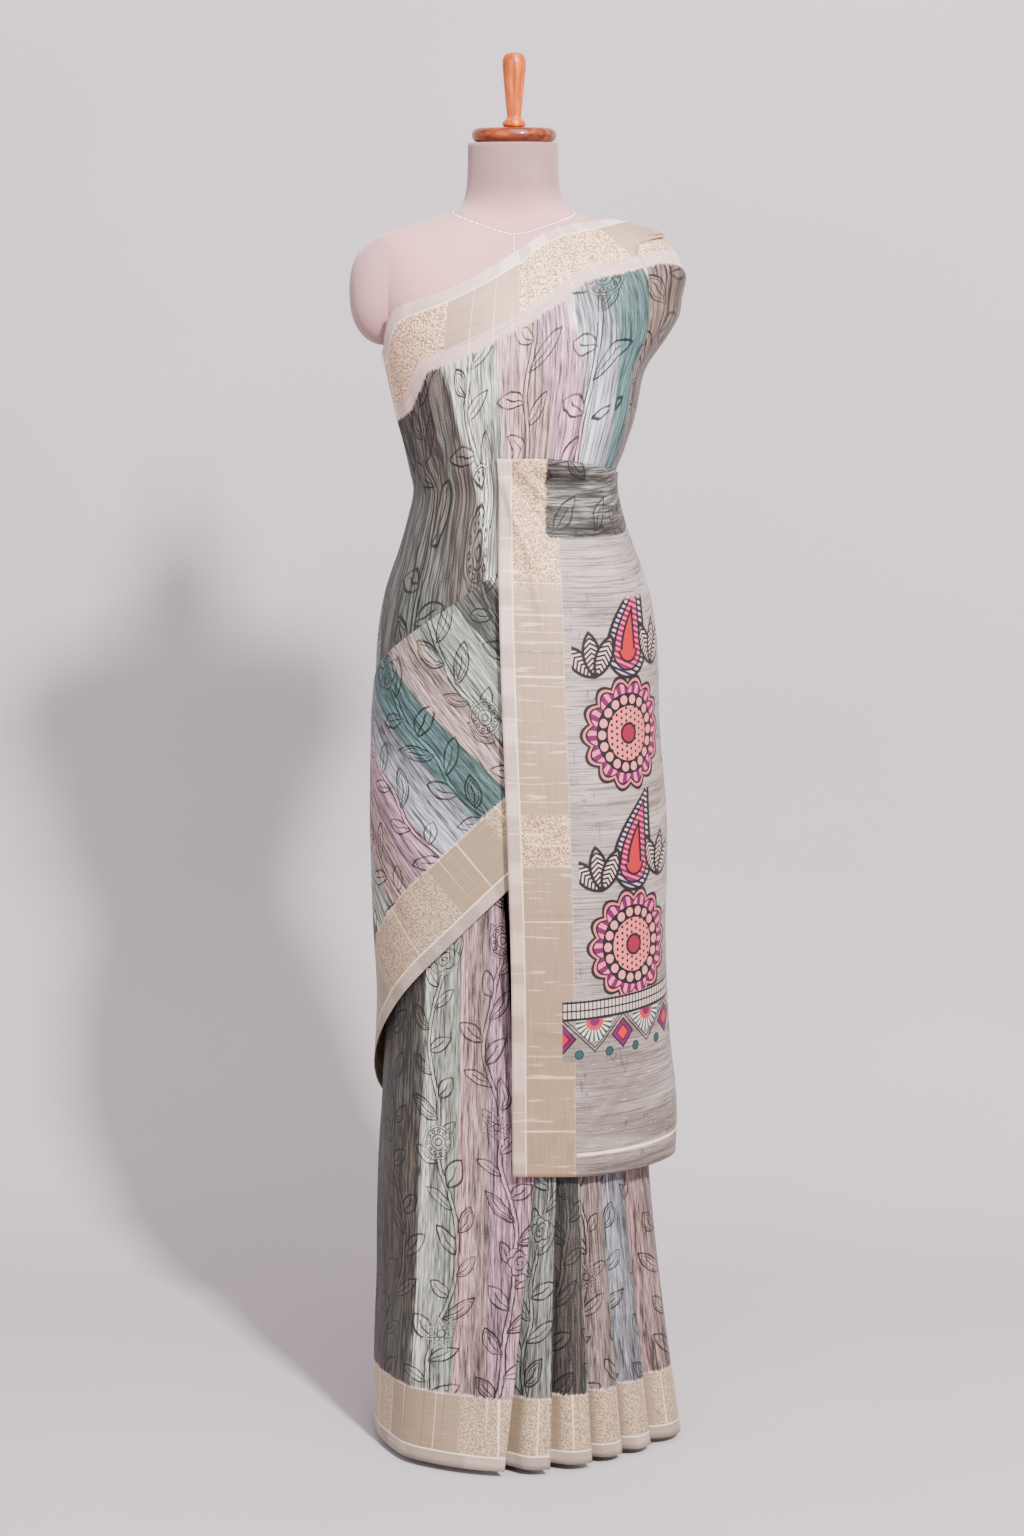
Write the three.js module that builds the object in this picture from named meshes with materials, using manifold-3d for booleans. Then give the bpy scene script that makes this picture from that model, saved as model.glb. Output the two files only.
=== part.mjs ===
// A saree draped on a limbless dress form with a turned wooden knob and a hidden pole and foot.
// Millimetres, +Z up, the front faces -Y. The origin is the middle of the foot's underside.
import * as THREE from 'three';
import { mergeVertices } from 'three/addons/utils/BufferGeometryUtils.js';
import Module from 'manifold-3d';

const wasm = await Module();
wasm.setup();

// Driving dimensions
const CLOTH_WALL = 2;
const SEAM_GAP = 0.5;
const HEM_Z = 8;
const TUCK_Z = 1030;
const WAIST_Z = 1089;
const FORM_BOTTOM_Z = 690;
const NECK_TOP_Z = 1474;
const NECK_CAP_RADIUS = 47;
const NECK_CAP_HEIGHT = 15.5;
const FINIAL_HEIGHT = 82;
const POLE_RADIUS = 12;
const FOOT_RADIUS = 125;
const FOOT_HEIGHT = 12;
const COLUMN_STEP = 7.5;

// Angles run round the upright axis in degrees: 0 is +X, -90 the front, 90 or -270 the back.
// Heights that the cloth's rows share, so that its layers stay parallel.
const LEVELS = [
  HEM_Z, 60, 120, 200, 290, 380, 470, 560, 650, 740, 820, 890, 950, 990, TUCK_Z, 1058, WAIST_Z,
  1112, 1140, 1180, 1222, 1262, 1300, 1330, 1350, 1364, 1374, 1382, 1389,
];

// Half sizes of the padded form at each height, and how square its outline is.
const FORM_SECTIONS = [
  { z: FORM_BOTTOM_Z, left: 138, right: 138, front: 104, back: 110, power: 2.2 },
  { z: 700, left: 147, right: 147, front: 112, back: 120, power: 2.2 },
  { z: 780, left: 150, right: 150, front: 116, back: 124, power: 2.2 },
  { z: 860, left: 149, right: 149, front: 113, back: 121, power: 2.2 },
  { z: 915, left: 145, right: 146, front: 108, back: 114, power: 2.2 },
  { z: 975, left: 134, right: 135, front: 100, back: 102, power: 2.2 },
  { z: TUCK_Z, left: 119, right: 117, front: 91, back: 89, power: 2.2 },
  { z: WAIST_Z, left: 110, right: 105.5, front: 86, back: 80, power: 2.2 },
  { z: 1130, left: 114, right: 111.5, front: 90, back: 83, power: 2.2 },
  { z: 1175, left: 125, right: 125, front: 102, back: 89, power: 2.2 },
  { z: 1225, left: 136, right: 137, front: 113, back: 95, power: 2.2 },
  { z: 1265, left: 144, right: 144, front: 111, back: 98, power: 2.2 },
  { z: 1300, left: 151, right: 150, front: 100, back: 96, power: 2.3 },
  { z: 1330, left: 155, right: 154, front: 86, back: 90, power: 2.3 },
  { z: 1350, left: 156, right: 155, front: 72, back: 80, power: 2.3 },
  { z: 1362, left: 156, right: 152, front: 61, back: 71, power: 2.3 },
  { z: 1371, left: 152, right: 145, front: 52, back: 63, power: 2.3 },
  { z: 1379, left: 133, right: 127, front: 46, back: 57, power: 2.2 },
  { z: 1387, left: 104, right: 103, front: 43, back: 53, power: 2.1 },
  { z: 1395, left: 80, right: 79, front: 42, back: 51, power: 2 },
  { z: 1404, left: 62, right: 60, front: 43, back: 50, power: 2 },
  { z: 1414, left: 55, right: 53, front: 44, back: 49, power: 2 },
  { z: 1434, left: 52, right: 50, front: 46, back: 48, power: 2 },
  { z: NECK_TOP_Z, left: 51, right: 49, front: 48, back: 48, power: 2 },
];

// Half sizes of the innermost cloth layer.
const CLOTH_SECTIONS = [
  { z: HEM_Z, left: 160, right: 160, front: 172, back: 152, power: 2.2 },
  { z: 90, left: 159, right: 156, front: 156, back: 148, power: 2.2 },
  { z: 200, left: 155, right: 150, front: 146, back: 142, power: 2.2 },
  { z: 320, left: 153, right: 147, front: 139, back: 137, power: 2.2 },
  { z: 420, left: 148, right: 146, front: 133, back: 133, power: 2.2 },
  { z: 510, left: 144, right: 148, front: 129, back: 131, power: 2.2 },
  { z: 600, left: 150, right: 151, front: 125, back: 130, power: 2.2 },
  { z: 700, left: 154, right: 154, front: 122, back: 130, power: 2.2 },
  { z: 780, left: 154, right: 154, front: 120, back: 128, power: 2.2 },
  { z: 860, left: 152, right: 153, front: 117, back: 125, power: 2.2 },
  { z: 915, left: 148, right: 150, front: 112, back: 118, power: 2.2 },
  { z: 975, left: 138, right: 139, front: 104, back: 106, power: 2.2 },
  { z: TUCK_Z, left: 122, right: 121, front: 95, back: 93, power: 2.2 },
  { z: WAIST_Z, left: 112, right: 108, front: 88, back: 82, power: 2.2 },
  { z: 1112, left: 114, right: 110.5, front: 90, back: 84, power: 2.2 },
  { z: 1135, left: 118, right: 119.5, front: 94, back: 87, power: 2.2 },
  { z: 1175, left: 128, right: 132, front: 105, back: 92, power: 2.2 },
  { z: 1225, left: 139, right: 142, front: 116, back: 98, power: 2.2 },
  { z: 1262, left: 147, right: 166, front: 114, back: 101, power: 2.2 },
  { z: 1285, left: 151, right: 179, front: 108, back: 100, power: 2.2 },
  { z: 1304, left: 154, right: 182, front: 101, back: 98, power: 2.3 },
  { z: 1330, left: 159, right: 187, front: 89, back: 92, power: 2.3 },
  { z: 1350, left: 160, right: 180, front: 76, back: 83, power: 2.3 },
  { z: 1364, left: 160, right: 170, front: 64, back: 73, power: 2.3 },
  { z: 1374, left: 150, right: 160, front: 54, back: 64, power: 2.3 },
  { z: 1382, left: 128, right: 135, front: 48, back: 58, power: 2.2 },
  { z: 1389, left: 102, right: 108, front: 45, back: 54, power: 2.1 },
  { z: 1396, left: 80, right: 84, front: 44, back: 52, power: 2 },
];

// Half sizes inside the decorated end, which hangs straighter than the cloth below it.
const PALLU_SECTIONS = [
  { z: 325, left: 184, right: 183, front: 162, back: 155, power: 2.2 },
  { z: 393, left: 183, right: 184, front: 159, back: 153, power: 2.2 },
  { z: 474, left: 176, right: 176, front: 155, back: 150, power: 2.2 },
  { z: 580, left: 172, right: 171, front: 150, back: 147, power: 2.2 },
  { z: 686, left: 174, right: 172, front: 146, back: 146, power: 2.2 },
  { z: 742, left: 172, right: 170, front: 144, back: 147, power: 2.2 },
  { z: 820, left: 166, right: 163, front: 141, back: 145, power: 2.2 },
  { z: 911, left: 160, right: 160, front: 134, back: 137, power: 2.2 },
  { z: 966, left: 153, right: 153, front: 126, back: 126, power: 2.2 },
  { z: 1001, left: 143, right: 143, front: 118.5, back: 118, power: 2.2 },
  { z: TUCK_Z, left: 132, right: 132, front: 111.5, back: 110, power: 2.2 },
  { z: 1058, left: 122, right: 122, front: 102.5, back: 101, power: 2.2 },
  { z: WAIST_Z, left: 116, right: 114.5, front: 94, back: 93, power: 2.2 },
  { z: 1112, left: 117, right: 115, front: 94.2, back: 92, power: 2.2 },
  { z: 1140, left: 125, right: 127, front: 101, back: 95, power: 2.2 },
];

// Where each stretch of cloth ends, by the angle round the form.
const BODICE_TOP = [
  { angle: -285, z: 1115 }, { angle: -262, z: 1145 }, { angle: -235, z: 1195 },
  { angle: -205, z: 1232 }, { angle: -180, z: 1243 }, { angle: -168, z: 1249 },
  { angle: -163, z: 1262 }, { angle: -156, z: 1288 }, { angle: -148, z: 1298 },
  { angle: -130, z: 1315 }, { angle: -110, z: 1337 }, { angle: -92, z: 1353 },
  { angle: -75, z: 1366 }, { angle: -60, z: 1374 }, { angle: -40, z: 1382 },
  { angle: -15, z: 1388 }, { angle: 25, z: 1389 },
];
const BODICE_LOW = [
  { angle: -285, z: 850 }, { angle: -250, z: 825 }, { angle: -200, z: 800 },
  { angle: -180, z: 810 }, { angle: -164, z: 845 }, { angle: -130, z: 900 },
  { angle: -100, z: 950 }, { angle: -92, z: 1015 }, { angle: -84, z: 1058 }, { angle: 25, z: 1058 },
];
const BODICE_RIGHT = [
  { z: 1058, angle: -12 }, { z: 1105, angle: -15 }, { z: 1145, angle: -19 },
  { z: 1235, angle: -24 }, { z: 1290, angle: -26 }, { z: 1340, angle: -23 },
  { z: 1364, angle: -17 }, { z: 1374, angle: 8 }, { z: 1382, angle: 24 }, { z: 1396, angle: 26 },
];
const HIP_TOP = [
  { angle: -285, z: 905 }, { angle: -250, z: 885 }, { angle: -200, z: 858 },
  { angle: -180, z: 868 }, { angle: -164, z: 903 }, { angle: -130, z: 962 },
  { angle: -96, z: 1012 }, { angle: -70, z: 1024 },
];
const HIP_LOW = [
  { angle: -285, z: 270 }, { angle: -250, z: 300 }, { angle: -205, z: 380 },
  { angle: -180, z: 438 }, { angle: -160, z: 490 }, { angle: -130, z: 570 },
  { angle: -92, z: 662 }, { angle: -70, z: 705 },
];
const SHOULDER_BACK = [
  { z: 1075, angle: 92 }, { z: 1200, angle: 82 }, { z: 1280, angle: 74 }, { z: 1330, angle: 62 },
  { z: 1364, angle: 48 }, { z: 1382, angle: 34 }, { z: 1396, angle: 30 },
];
const PALLU_LEFT = [
  { z: 325, angle: -90.5 }, { z: 600, angle: -91.5 }, { z: 900, angle: -96 }, { z: 1140, angle: -101 },
];
const PALLU_TOP = [
  { angle: -101, z: 1132 }, { angle: -60, z: 1130 }, { angle: -20, z: 1116 }, { angle: 0, z: 1110 },
  { angle: 95, z: 1090 },
];
const PALLU_LOW = [
  { angle: -101, z: 344 }, { angle: -40, z: 340 }, { angle: -8, z: 336 }, { angle: 95, z: 334 },
];

// Soft folds raised in the outer layers: where each runs, and how far it stands out.
const SKIRT_FOLDS = [
  { angle: 118, reach: 6, spread: 7, low: HEM_Z, high: 300 },
  { angle: 140, reach: 4, spread: 6, low: HEM_Z, high: 240 },
  { angle: 163, reach: 5, spread: 8, low: HEM_Z, high: 330 },
  { angle: 226, reach: 3, spread: 8, low: HEM_Z, high: 420 },
];
const PALLU_FOLDS = [
  { angle: -62, reach: 3, spread: 9, low: 325, high: 900 },
  { angle: -18, reach: 5, spread: 9, low: 325, high: 760 },
  { angle: 22, reach: 7, spread: 8, low: 325, high: 980 },
  { angle: 48, reach: 6, spread: 9, low: 325, high: 860 },
  { angle: 72, reach: 7, spread: 8, low: 325, high: 940 },
];

// The edges of the knife pleats, from the panel's own edge to the last pleat at the side:
// the angle of each fold at the waist, where the end hangs over it, and at the hem,
// and its distance from the axis there.
const PLEAT_FOLDS = [
  { waist: -96, middle: -81.8, middleReach: 153, hem: -93.5, hemReach: 178 },
  { waist: -88, middle: -72.5, middleReach: 156, hem: -76.8, hemReach: 175 },
  { waist: -80, middle: -62.8, middleReach: 158, hem: -59.1, hemReach: 171 },
  { waist: -72, middle: -53.0, middleReach: 160, hem: -43.0, hemReach: 168 },
  { waist: -64, middle: -40.5, middleReach: 161, hem: -28.4, hemReach: 178 },
  { waist: -56, middle: -16.5, middleReach: 160, hem: -9.4, hemReach: 196 },
];
const PLEAT_MIDDLE_Z = 330;
const PLEAT_ROWS = [HEM_Z, 60, 120, 200, 290, 380, 560, 740, 890, 990, TUCK_Z];
const PLEAT_TURN = 3.4;
const PLEAT_UNDERLAP = 5.2;

function finish(color, roughness, metalness = 0) {
  return new THREE.MeshStandardMaterial({ color, roughness, metalness });
}

const formFabric = finish(0xdccbcc, 0.9);
const printedSilk = finish(0xaaa4a2, 0.7);
const bodiceSilk = finish(0xb9adb0, 0.7);
const hipSilk = finish(0xa8b0ae, 0.7);
const palluSilk = finish(0xcdc6c0, 0.65);
const goldenWood = finish(0xc88732, 0.3);
const redWood = finish(0xaa5523, 0.3);
const darkMetal = finish(0x3a3a3c, 0.5, 0.6);

// A smooth curve through a table's rows: the value of one column at a place along another.
function along(table, key, column, place) {
  const last = table.length - 1;
  const at = Math.min(Math.max(place, table[0][key]), table[last][key]);
  let i = 0;
  while (i < last - 1 && at > table[i + 1][key]) {
    i += 1;
  }
  const slope = (k) => {
    const before = table[Math.max(k - 1, 0)];
    const after = table[Math.min(k + 1, last)];
    return (after[column] - before[column]) / (after[key] - before[key]);
  };
  const span = table[i + 1][key] - table[i][key];
  const t = (at - table[i][key]) / span;
  const rise = table[i + 1][column] - table[i][column];
  const start = slope(i) * span;
  const end = slope(i + 1) * span;
  const curve = (start + end - 2 * rise) * t ** 3 + (3 * rise - 2 * start - end) * t ** 2;
  return table[i][column] + start * t + curve;
}

// An eased change from 0 to 1 as a value passes from one bound to the other, either way.
function smooth(from, to, value) {
  const t = THREE.MathUtils.clamp((value - from) / (to - from), 0, 1);
  return t * t * (3 - 2 * t);
}

// Distance from the axis to a surface of sections, at one angle and height.
function reach(sections, angle, z) {
  const turn = THREE.MathUtils.degToRad(angle);
  const across = Math.cos(turn);
  const forward = Math.sin(turn);
  const side = along(sections, 'z', across < 0 ? 'left' : 'right', z);
  const depth = along(sections, 'z', forward < 0 ? 'front' : 'back', z);
  const power = along(sections, 'z', 'power', z);
  const sum = (Math.abs(across) / side) ** power + (Math.abs(forward) / depth) ** power;
  return sum ** (-1 / power);
}

// A point that stands off a surface by a lift: outward on the body, upward on the shoulder's top.
function draped(sections, angle, z, lift) {
  const turn = THREE.MathUtils.degToRad(angle);
  const upward = 0.85 * smooth(1338, 1384, z);
  const radius = reach(sections, angle, z) + lift * (1 - 0.5 * upward);
  return [radius * Math.cos(turn), radius * Math.sin(turn), z + lift * upward];
}

function folds(table, angle, z) {
  let sum = 0;
  for (const fold of table) {
    const fade = smooth(fold.high, fold.low, z);
    sum += fold.reach * fade * Math.exp(-(((angle - fold.angle) / fold.spread) ** 2));
  }
  return sum;
}

// A closed geometry from triangles of points, with doubled points merged.
function solidOf(points, faces) {
  const raw = new THREE.BufferGeometry();
  raw.setAttribute('position', new THREE.Float32BufferAttribute(points.flat(), 3));
  raw.setIndex(faces.flat());
  const merged = mergeVertices(raw, 0.02);
  const index = merged.getIndex();
  const kept = [];
  for (let i = 0; i < index.count; i += 3) {
    const [a, b, c] = [index.getX(i), index.getX(i + 1), index.getX(i + 2)];
    if (a !== b && b !== c && c !== a) {
      kept.push(a, b, c);
    }
  }
  merged.setIndex(kept);
  merged.computeVertexNormals();
  return merged;
}

// A wall between an outer and an inner sheet of points, each a list of rows.
function wall(outer, inner) {
  const rows = outer.length;
  const columns = outer[0].length;
  const points = [...outer.flat(), ...inner.flat()];
  const place = (row, column, layer) => layer * rows * columns + row * columns + column;
  const faces = [];
  const quad = (a, b, c, d) => faces.push([a, b, c], [a, c, d]);
  for (let row = 0; row < rows - 1; row += 1) {
    for (let column = 0; column < columns - 1; column += 1) {
      const corners = (layer) => [
        place(row, column, layer), place(row, column + 1, layer),
        place(row + 1, column + 1, layer), place(row + 1, column, layer),
      ];
      quad(...corners(0));
      quad(...corners(1).reverse());
    }
  }
  for (let column = 0; column < columns - 1; column += 1) {
    const top = rows - 1;
    quad(place(0, column + 1, 0), place(0, column, 0), place(0, column, 1), place(0, column + 1, 1));
    quad(place(top, column, 0), place(top, column + 1, 0), place(top, column + 1, 1), place(top, column, 1));
  }
  for (let row = 0; row < rows - 1; row += 1) {
    const end = columns - 1;
    quad(place(row, 0, 0), place(row + 1, 0, 0), place(row + 1, 0, 1), place(row, 0, 1));
    quad(place(row + 1, end, 0), place(row, end, 0), place(row, end, 1), place(row + 1, end, 1));
  }
  return solidOf(points, faces);
}

// A stretch of cloth between four edges: the shared columns and levels, held inside the edges.
function stretch({ sections, from, to, low, top, start, end, lift }) {
  const angles = [from];
  for (let a = Math.ceil(from / COLUMN_STEP + 0.2) * COLUMN_STEP; a < to - 1; a += COLUMN_STEP) {
    angles.push(a);
  }
  angles.push(to);
  const lows = angles.map(low);
  const tops = angles.map(top);
  const floor = Math.min(...lows);
  const roof = Math.max(...tops);
  const levels = LEVELS.filter((z) => z > floor + 2 && z < roof - 2);
  levels.unshift(floor);
  levels.push(roof);
  const sheet = (inset) => levels.map((level) => angles.map((angle, i) => {
    const z = Math.min(Math.max(level, lows[i]), tops[i]);
    const held = Math.min(Math.max(angle, start(z)), end(z));
    return draped(sections, held, z, lift(held, z) - inset);
  }));
  return wall(sheet(0), sheet(CLOTH_WALL));
}

function named(name, geometry, material) {
  const mesh = new THREE.Mesh(geometry, material);
  mesh.name = name;
  return mesh;
}

// The padded body of the form, closed above the neck and below the hips.
function formGeometry(lift) {
  const points = [];
  const faces = [];
  const columns = 360 / COLUMN_STEP;
  for (const row of FORM_SECTIONS) {
    for (let i = 0; i < columns; i += 1) {
      points.push(draped(FORM_SECTIONS, i * COLUMN_STEP - 180, row.z, lift));
    }
  }
  const rows = FORM_SECTIONS.length;
  for (let row = 0; row < rows - 1; row += 1) {
    for (let i = 0; i < columns; i += 1) {
      const next = (i + 1) % columns;
      const [a, b] = [row * columns + i, row * columns + next];
      faces.push([a, b, b + columns], [a, b + columns, a + columns]);
    }
  }
  const bottom = points.push([0, 0, FORM_BOTTOM_Z]) - 1;
  const top = points.push([0, 0, NECK_TOP_Z]) - 1;
  const rim = (rows - 1) * columns;
  for (let i = 0; i < columns; i += 1) {
    const next = (i + 1) % columns;
    faces.push([bottom, next, i], [top, rim + i, rim + next]);
  }
  return solidOf(points, faces);
}

function toManifold(geometry) {
  const mesh = new wasm.Mesh({
    numProp: 3,
    vertProperties: new Float32Array(geometry.getAttribute('position').array),
    triVerts: new Uint32Array(geometry.getIndex().array),
  });
  return new wasm.Manifold(mesh);
}

function fromManifold(solid) {
  const mesh = solid.getMesh();
  const geometry = new THREE.BufferGeometry();
  geometry.setAttribute('position', new THREE.Float32BufferAttribute(mesh.vertProperties, 3));
  geometry.setIndex([...mesh.triVerts]);
  geometry.computeVertexNormals();
  return geometry;
}

// A rounded pad over each armhole, cut to the body's own curve with the seam's gap.
const PAD_HALF_DEPTH = 48;
const PAD_ROOT_X = 140;
const LEFT_PAD = { side: -1, reachX: 183, middleZ: 1311, halfHeight: 59 };
const RIGHT_PAD = { side: 1, reachX: 178, middleZ: 1319, halfHeight: 49 };

function armPad({ side, reachX, middleZ, halfHeight }) {
  const pad = new THREE.SphereGeometry(1, 20, 14);
  pad.deleteAttribute('normal');
  pad.deleteAttribute('uv');
  const position = pad.getAttribute('position');
  for (let i = 0; i < position.count; i += 1) {
    const square = (value) => Math.sign(value) * Math.abs(value) ** 0.86;
    const x = square(position.getX(i)) * (reachX - PAD_ROOT_X);
    const y = square(position.getZ(i)) * PAD_HALF_DEPTH;
    const z = square(position.getY(i)) * halfHeight;
    position.setXYZ(i, side * PAD_ROOT_X + x, -y, middleZ + z);
  }
  const whole = toManifold(solidOf(
    Array.from({ length: position.count }, (_, i) => [position.getX(i), position.getY(i), position.getZ(i)]),
    trianglesOf(pad.getIndex()),
  ));
  const outside = whole.subtract(toManifold(formGeometry(SEAM_GAP)));
  return fromManifold(outside.decompose().reduce((a, b) => (a.volume() > b.volume() ? a : b)));
}

function trianglesOf(index) {
  const faces = [];
  for (let i = 0; i < index.count; i += 3) {
    faces.push([index.getX(i), index.getX(i + 1), index.getX(i + 2)]);
  }
  return faces;
}

// A turned piece from a profile of radius and height that starts and ends on the axis.
function turned(profile, sides) {
  const points = profile.map(([radius, height]) => new THREE.Vector2(radius, height));
  const lathe = new THREE.LatheGeometry(points, sides);
  lathe.rotateX(Math.PI / 2);
  return lathe;
}

function neckCap() {
  const round = NECK_CAP_HEIGHT / 2;
  const profile = [[0, 0], [NECK_CAP_RADIUS - round, 0]];
  for (let step = 1; step < 6; step += 1) {
    const turn = (step / 6) * Math.PI;
    profile.push([NECK_CAP_RADIUS - round + round * Math.sin(turn), round - round * Math.cos(turn)]);
  }
  profile.push([NECK_CAP_RADIUS - round, NECK_CAP_HEIGHT], [0, NECK_CAP_HEIGHT]);
  return turned(profile, 32);
}

function finial() {
  return turned([
    [0, 0], [9.5, 0], [12.2, 1.6], [12.9, 4.4], [11.4, 7.6], [8.4, 10.4], [7.9, 14], [9, 24],
    [10.6, 40], [12.2, 57], [13, 68], [12.2, 75], [9.4, 79.6], [5, FINIAL_HEIGHT - 0.6], [0, FINIAL_HEIGHT],
  ], 24);
}

function foot() {
  const edge = 3;
  return turned([
    [0, 0], [FOOT_RADIUS - edge, 0], [FOOT_RADIUS, edge], [FOOT_RADIUS, FOOT_HEIGHT - edge],
    [FOOT_RADIUS - edge, FOOT_HEIGHT], [0, FOOT_HEIGHT],
  ], 40);
}

// The first wrap, open only under the pleats. Its front edge flares out at the hem.
function skirtWrap() {
  const start = -14;
  const panelEdge = (z) => 360 + pleatFold(0, z).angle - PLEAT_UNDERLAP * 1.4 * smooth(430, 520, z);
  return stretch({
    sections: CLOTH_SECTIONS,
    from: start,
    to: 272,
    low: () => HEM_Z,
    top: () => TUCK_Z,
    start: () => start,
    end: panelEdge,
    lift: (angle, z) => {
      const nearEdge = smooth(panelEdge(z) - 24, panelEdge(z), angle) * smooth(520, 430, z);
      const flat = CLOTH_WALL + SEAM_GAP;
      const edge = pleatFold(0, z).reach - reach(CLOTH_SECTIONS, angle, z);
      const tucked = onForm(angle, z) * smooth(965, TUCK_Z, z);
      return flat + (edge - flat) * nearEdge + folds(SKIRT_FOLDS, angle, z) + tucked;
    },
  });
}

// How far the tucked top of a layer comes in from the cloth surface to lie on the form.
function onForm(angle, z) {
  return reach(FORM_SECTIONS, angle, z) - reach(CLOTH_SECTIONS, angle, z);
}

// Angle and distance of one pleat's outer fold at a height.
function pleatFold(index, z) {
  const fold = PLEAT_FOLDS[index];
  const down = THREE.MathUtils.clamp((PLEAT_MIDDLE_Z - z) / (PLEAT_MIDDLE_Z - HEM_Z), 0, 1);
  const up = smooth(PLEAT_MIDDLE_Z, TUCK_Z, z);
  const angle = fold.middle + (fold.hem - fold.middle) * down + (fold.waist - fold.middle) * up;
  const sink = 7.5 + 2.5 * smooth(900, 560, z) + 22 * down;
  const waistReach = reach(CLOTH_SECTIONS, angle, z) + 9.8 + onForm(angle, z) * smooth(900, TUCK_Z, z);
  const lowReach = fold.middleReach + (fold.hemReach - fold.middleReach) * down ** 1.3;
  const rise = smooth(PLEAT_MIDDLE_Z, 560, z);
  return { angle, reach: lowReach + (waistReach - lowReach) * rise, down, sink };
}

// The pleats' line seen from above at one height: out to each fold and back under it.
function pleatLine(z) {
  const line = [];
  const at = (angle, radius) => {
    const turn = THREE.MathUtils.degToRad(angle);
    return [radius * Math.cos(turn), radius * Math.sin(turn)];
  };
  for (let i = 1; i < PLEAT_FOLDS.length; i += 1) {
    const before = pleatFold(i - 1, z);
    const fold = pleatFold(i, z);
    const underlap = PLEAT_UNDERLAP + 1.2 * fold.down;
    const startAngle = before.angle - underlap;
    const startReach = before.reach - before.sink;
    const width = fold.angle - startAngle;
    const rise = fold.reach - startReach;
    line.push(at(startAngle, startReach));
    line.push(at(startAngle + width * 0.38, startReach + rise * 0.4));
    line.push(at(startAngle + width * 0.6, startReach + rise * 0.84));
    line.push(at(startAngle + width * 0.8, startReach + rise * 1.0));
    line.push(at(fold.angle, fold.reach - 0.6));
    line.push(at(fold.angle - 0.3, fold.reach - 0.6 - PLEAT_TURN));
    line.push(at(fold.angle - underlap, fold.reach - fold.sink + PLEAT_TURN));
  }
  return line;
}

// A line offset to one side by a distance, with mitred corners.
function offsetLine(line, distance) {
  return line.map((point, i) => {
    const before = line[Math.max(i - 1, 0)];
    const after = line[Math.min(i + 1, line.length - 1)];
    const unit = (a, b) => {
      const length = Math.hypot(b[0] - a[0], b[1] - a[1]);
      return [(b[0] - a[0]) / length, (b[1] - a[1]) / length];
    };
    const arriving = i === 0 ? unit(point, after) : unit(before, point);
    const leaving = i === line.length - 1 ? arriving : unit(point, after);
    const side = [arriving[1] + leaving[1], -(arriving[0] + leaving[0])];
    const length = Math.hypot(...side);
    const mitre = Math.min(2 / length, 1.5) * distance;
    return [point[0] + (side[0] / length) * mitre, point[1] + (side[1] / length) * mitre];
  });
}

function frontPleats() {
  const sheet = (distance) => PLEAT_ROWS.map(
    (z) => offsetLine(pleatLine(z), distance).map(([x, y]) => [x, y, z]),
  );
  return wall(sheet(CLOTH_WALL / 2), sheet(-CLOTH_WALL / 2));
}

// Room for the pleats below the cloth that crosses them.
function overPleats(angle, z) {
  const middle = -72;
  const spread = 30;
  const hump = Math.exp(-(((angle - middle) / spread) ** 4));
  return 7 * hump * smooth(1072, 1034, z);
}

function hipSwath() {
  return stretch({
    sections: CLOTH_SECTIONS,
    from: -285,
    to: -70,
    low: (angle) => along(HIP_LOW, 'angle', 'z', angle),
    top: (angle) => along(HIP_TOP, 'angle', 'z', angle),
    start: () => -285,
    end: () => -70,
    lift: (angle, z) => {
      const fallsAway = 5 * smooth(700, 420, z);
      return 9.1 + fallsAway + overPleats(angle, z);
    },
  });
}

function bodiceSwath() {
  return stretch({
    sections: CLOTH_SECTIONS,
    from: -285,
    to: 26,
    low: (angle) => along(BODICE_LOW, 'angle', 'z', angle),
    top: (angle) => along(BODICE_TOP, 'angle', 'z', angle),
    start: () => -285,
    end: (z) => along(BODICE_RIGHT, 'z', 'angle', z),
    lift: (angle, z) => {
      const drawnIn = 3.1 * Math.exp(-(((z - WAIST_Z) / 24) ** 2));
      return 4 + 1.8 * smooth(1072, 1000, z) - drawnIn + overPleats(angle, z);
    },
  });
}

function shoulderFall() {
  return stretch({
    sections: CLOTH_SECTIONS,
    from: -26,
    to: 92,
    low: (angle) => 1096 - 20 * smooth(10, 60, angle),
    top: (angle) => 1376 + 8 * smooth(12, 30, angle),
    start: (z) => along(BODICE_RIGHT, 'z', 'angle', z + 1.6) + 1,
    end: (z) => along(SHOULDER_BACK, 'z', 'angle', z),
    lift: (angle, z) => {
      const overBodice = 4.2 * smooth(30, 55, angle) * smooth(1350, 1250, z);
      const pinched = 2.2 * smooth(1116, 1099, z) * smooth(60, 20, angle);
      return 3.4 + overBodice - pinched;
    },
  });
}

function palluEnd() {
  return stretch({
    sections: PALLU_SECTIONS,
    from: -101,
    to: 95,
    low: (angle) => along(PALLU_LOW, 'angle', 'z', angle),
    top: (angle) => along(PALLU_TOP, 'angle', 'z', angle),
    start: (z) => along(PALLU_LEFT, 'z', 'angle', z),
    end: () => 95,
    lift: (angle, z) => CLOTH_WALL + folds(PALLU_FOLDS, angle, z),
  });
}

function dressForm() {
  const form = new THREE.Group();
  form.add(named('form_body', formGeometry(0), formFabric));
  form.add(named('form_arm_cap_left', armPad(LEFT_PAD), formFabric));
  form.add(named('form_arm_cap_right', armPad(RIGHT_PAD), formFabric));
  const cap = named('neck_cap', neckCap(), redWood);
  cap.position.z = NECK_TOP_Z + SEAM_GAP;
  form.add(cap);
  const knob = named('neck_finial', finial(), goldenWood);
  knob.position.z = NECK_TOP_Z + NECK_CAP_HEIGHT + 2 * SEAM_GAP;
  form.add(knob);
  return form;
}

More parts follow.
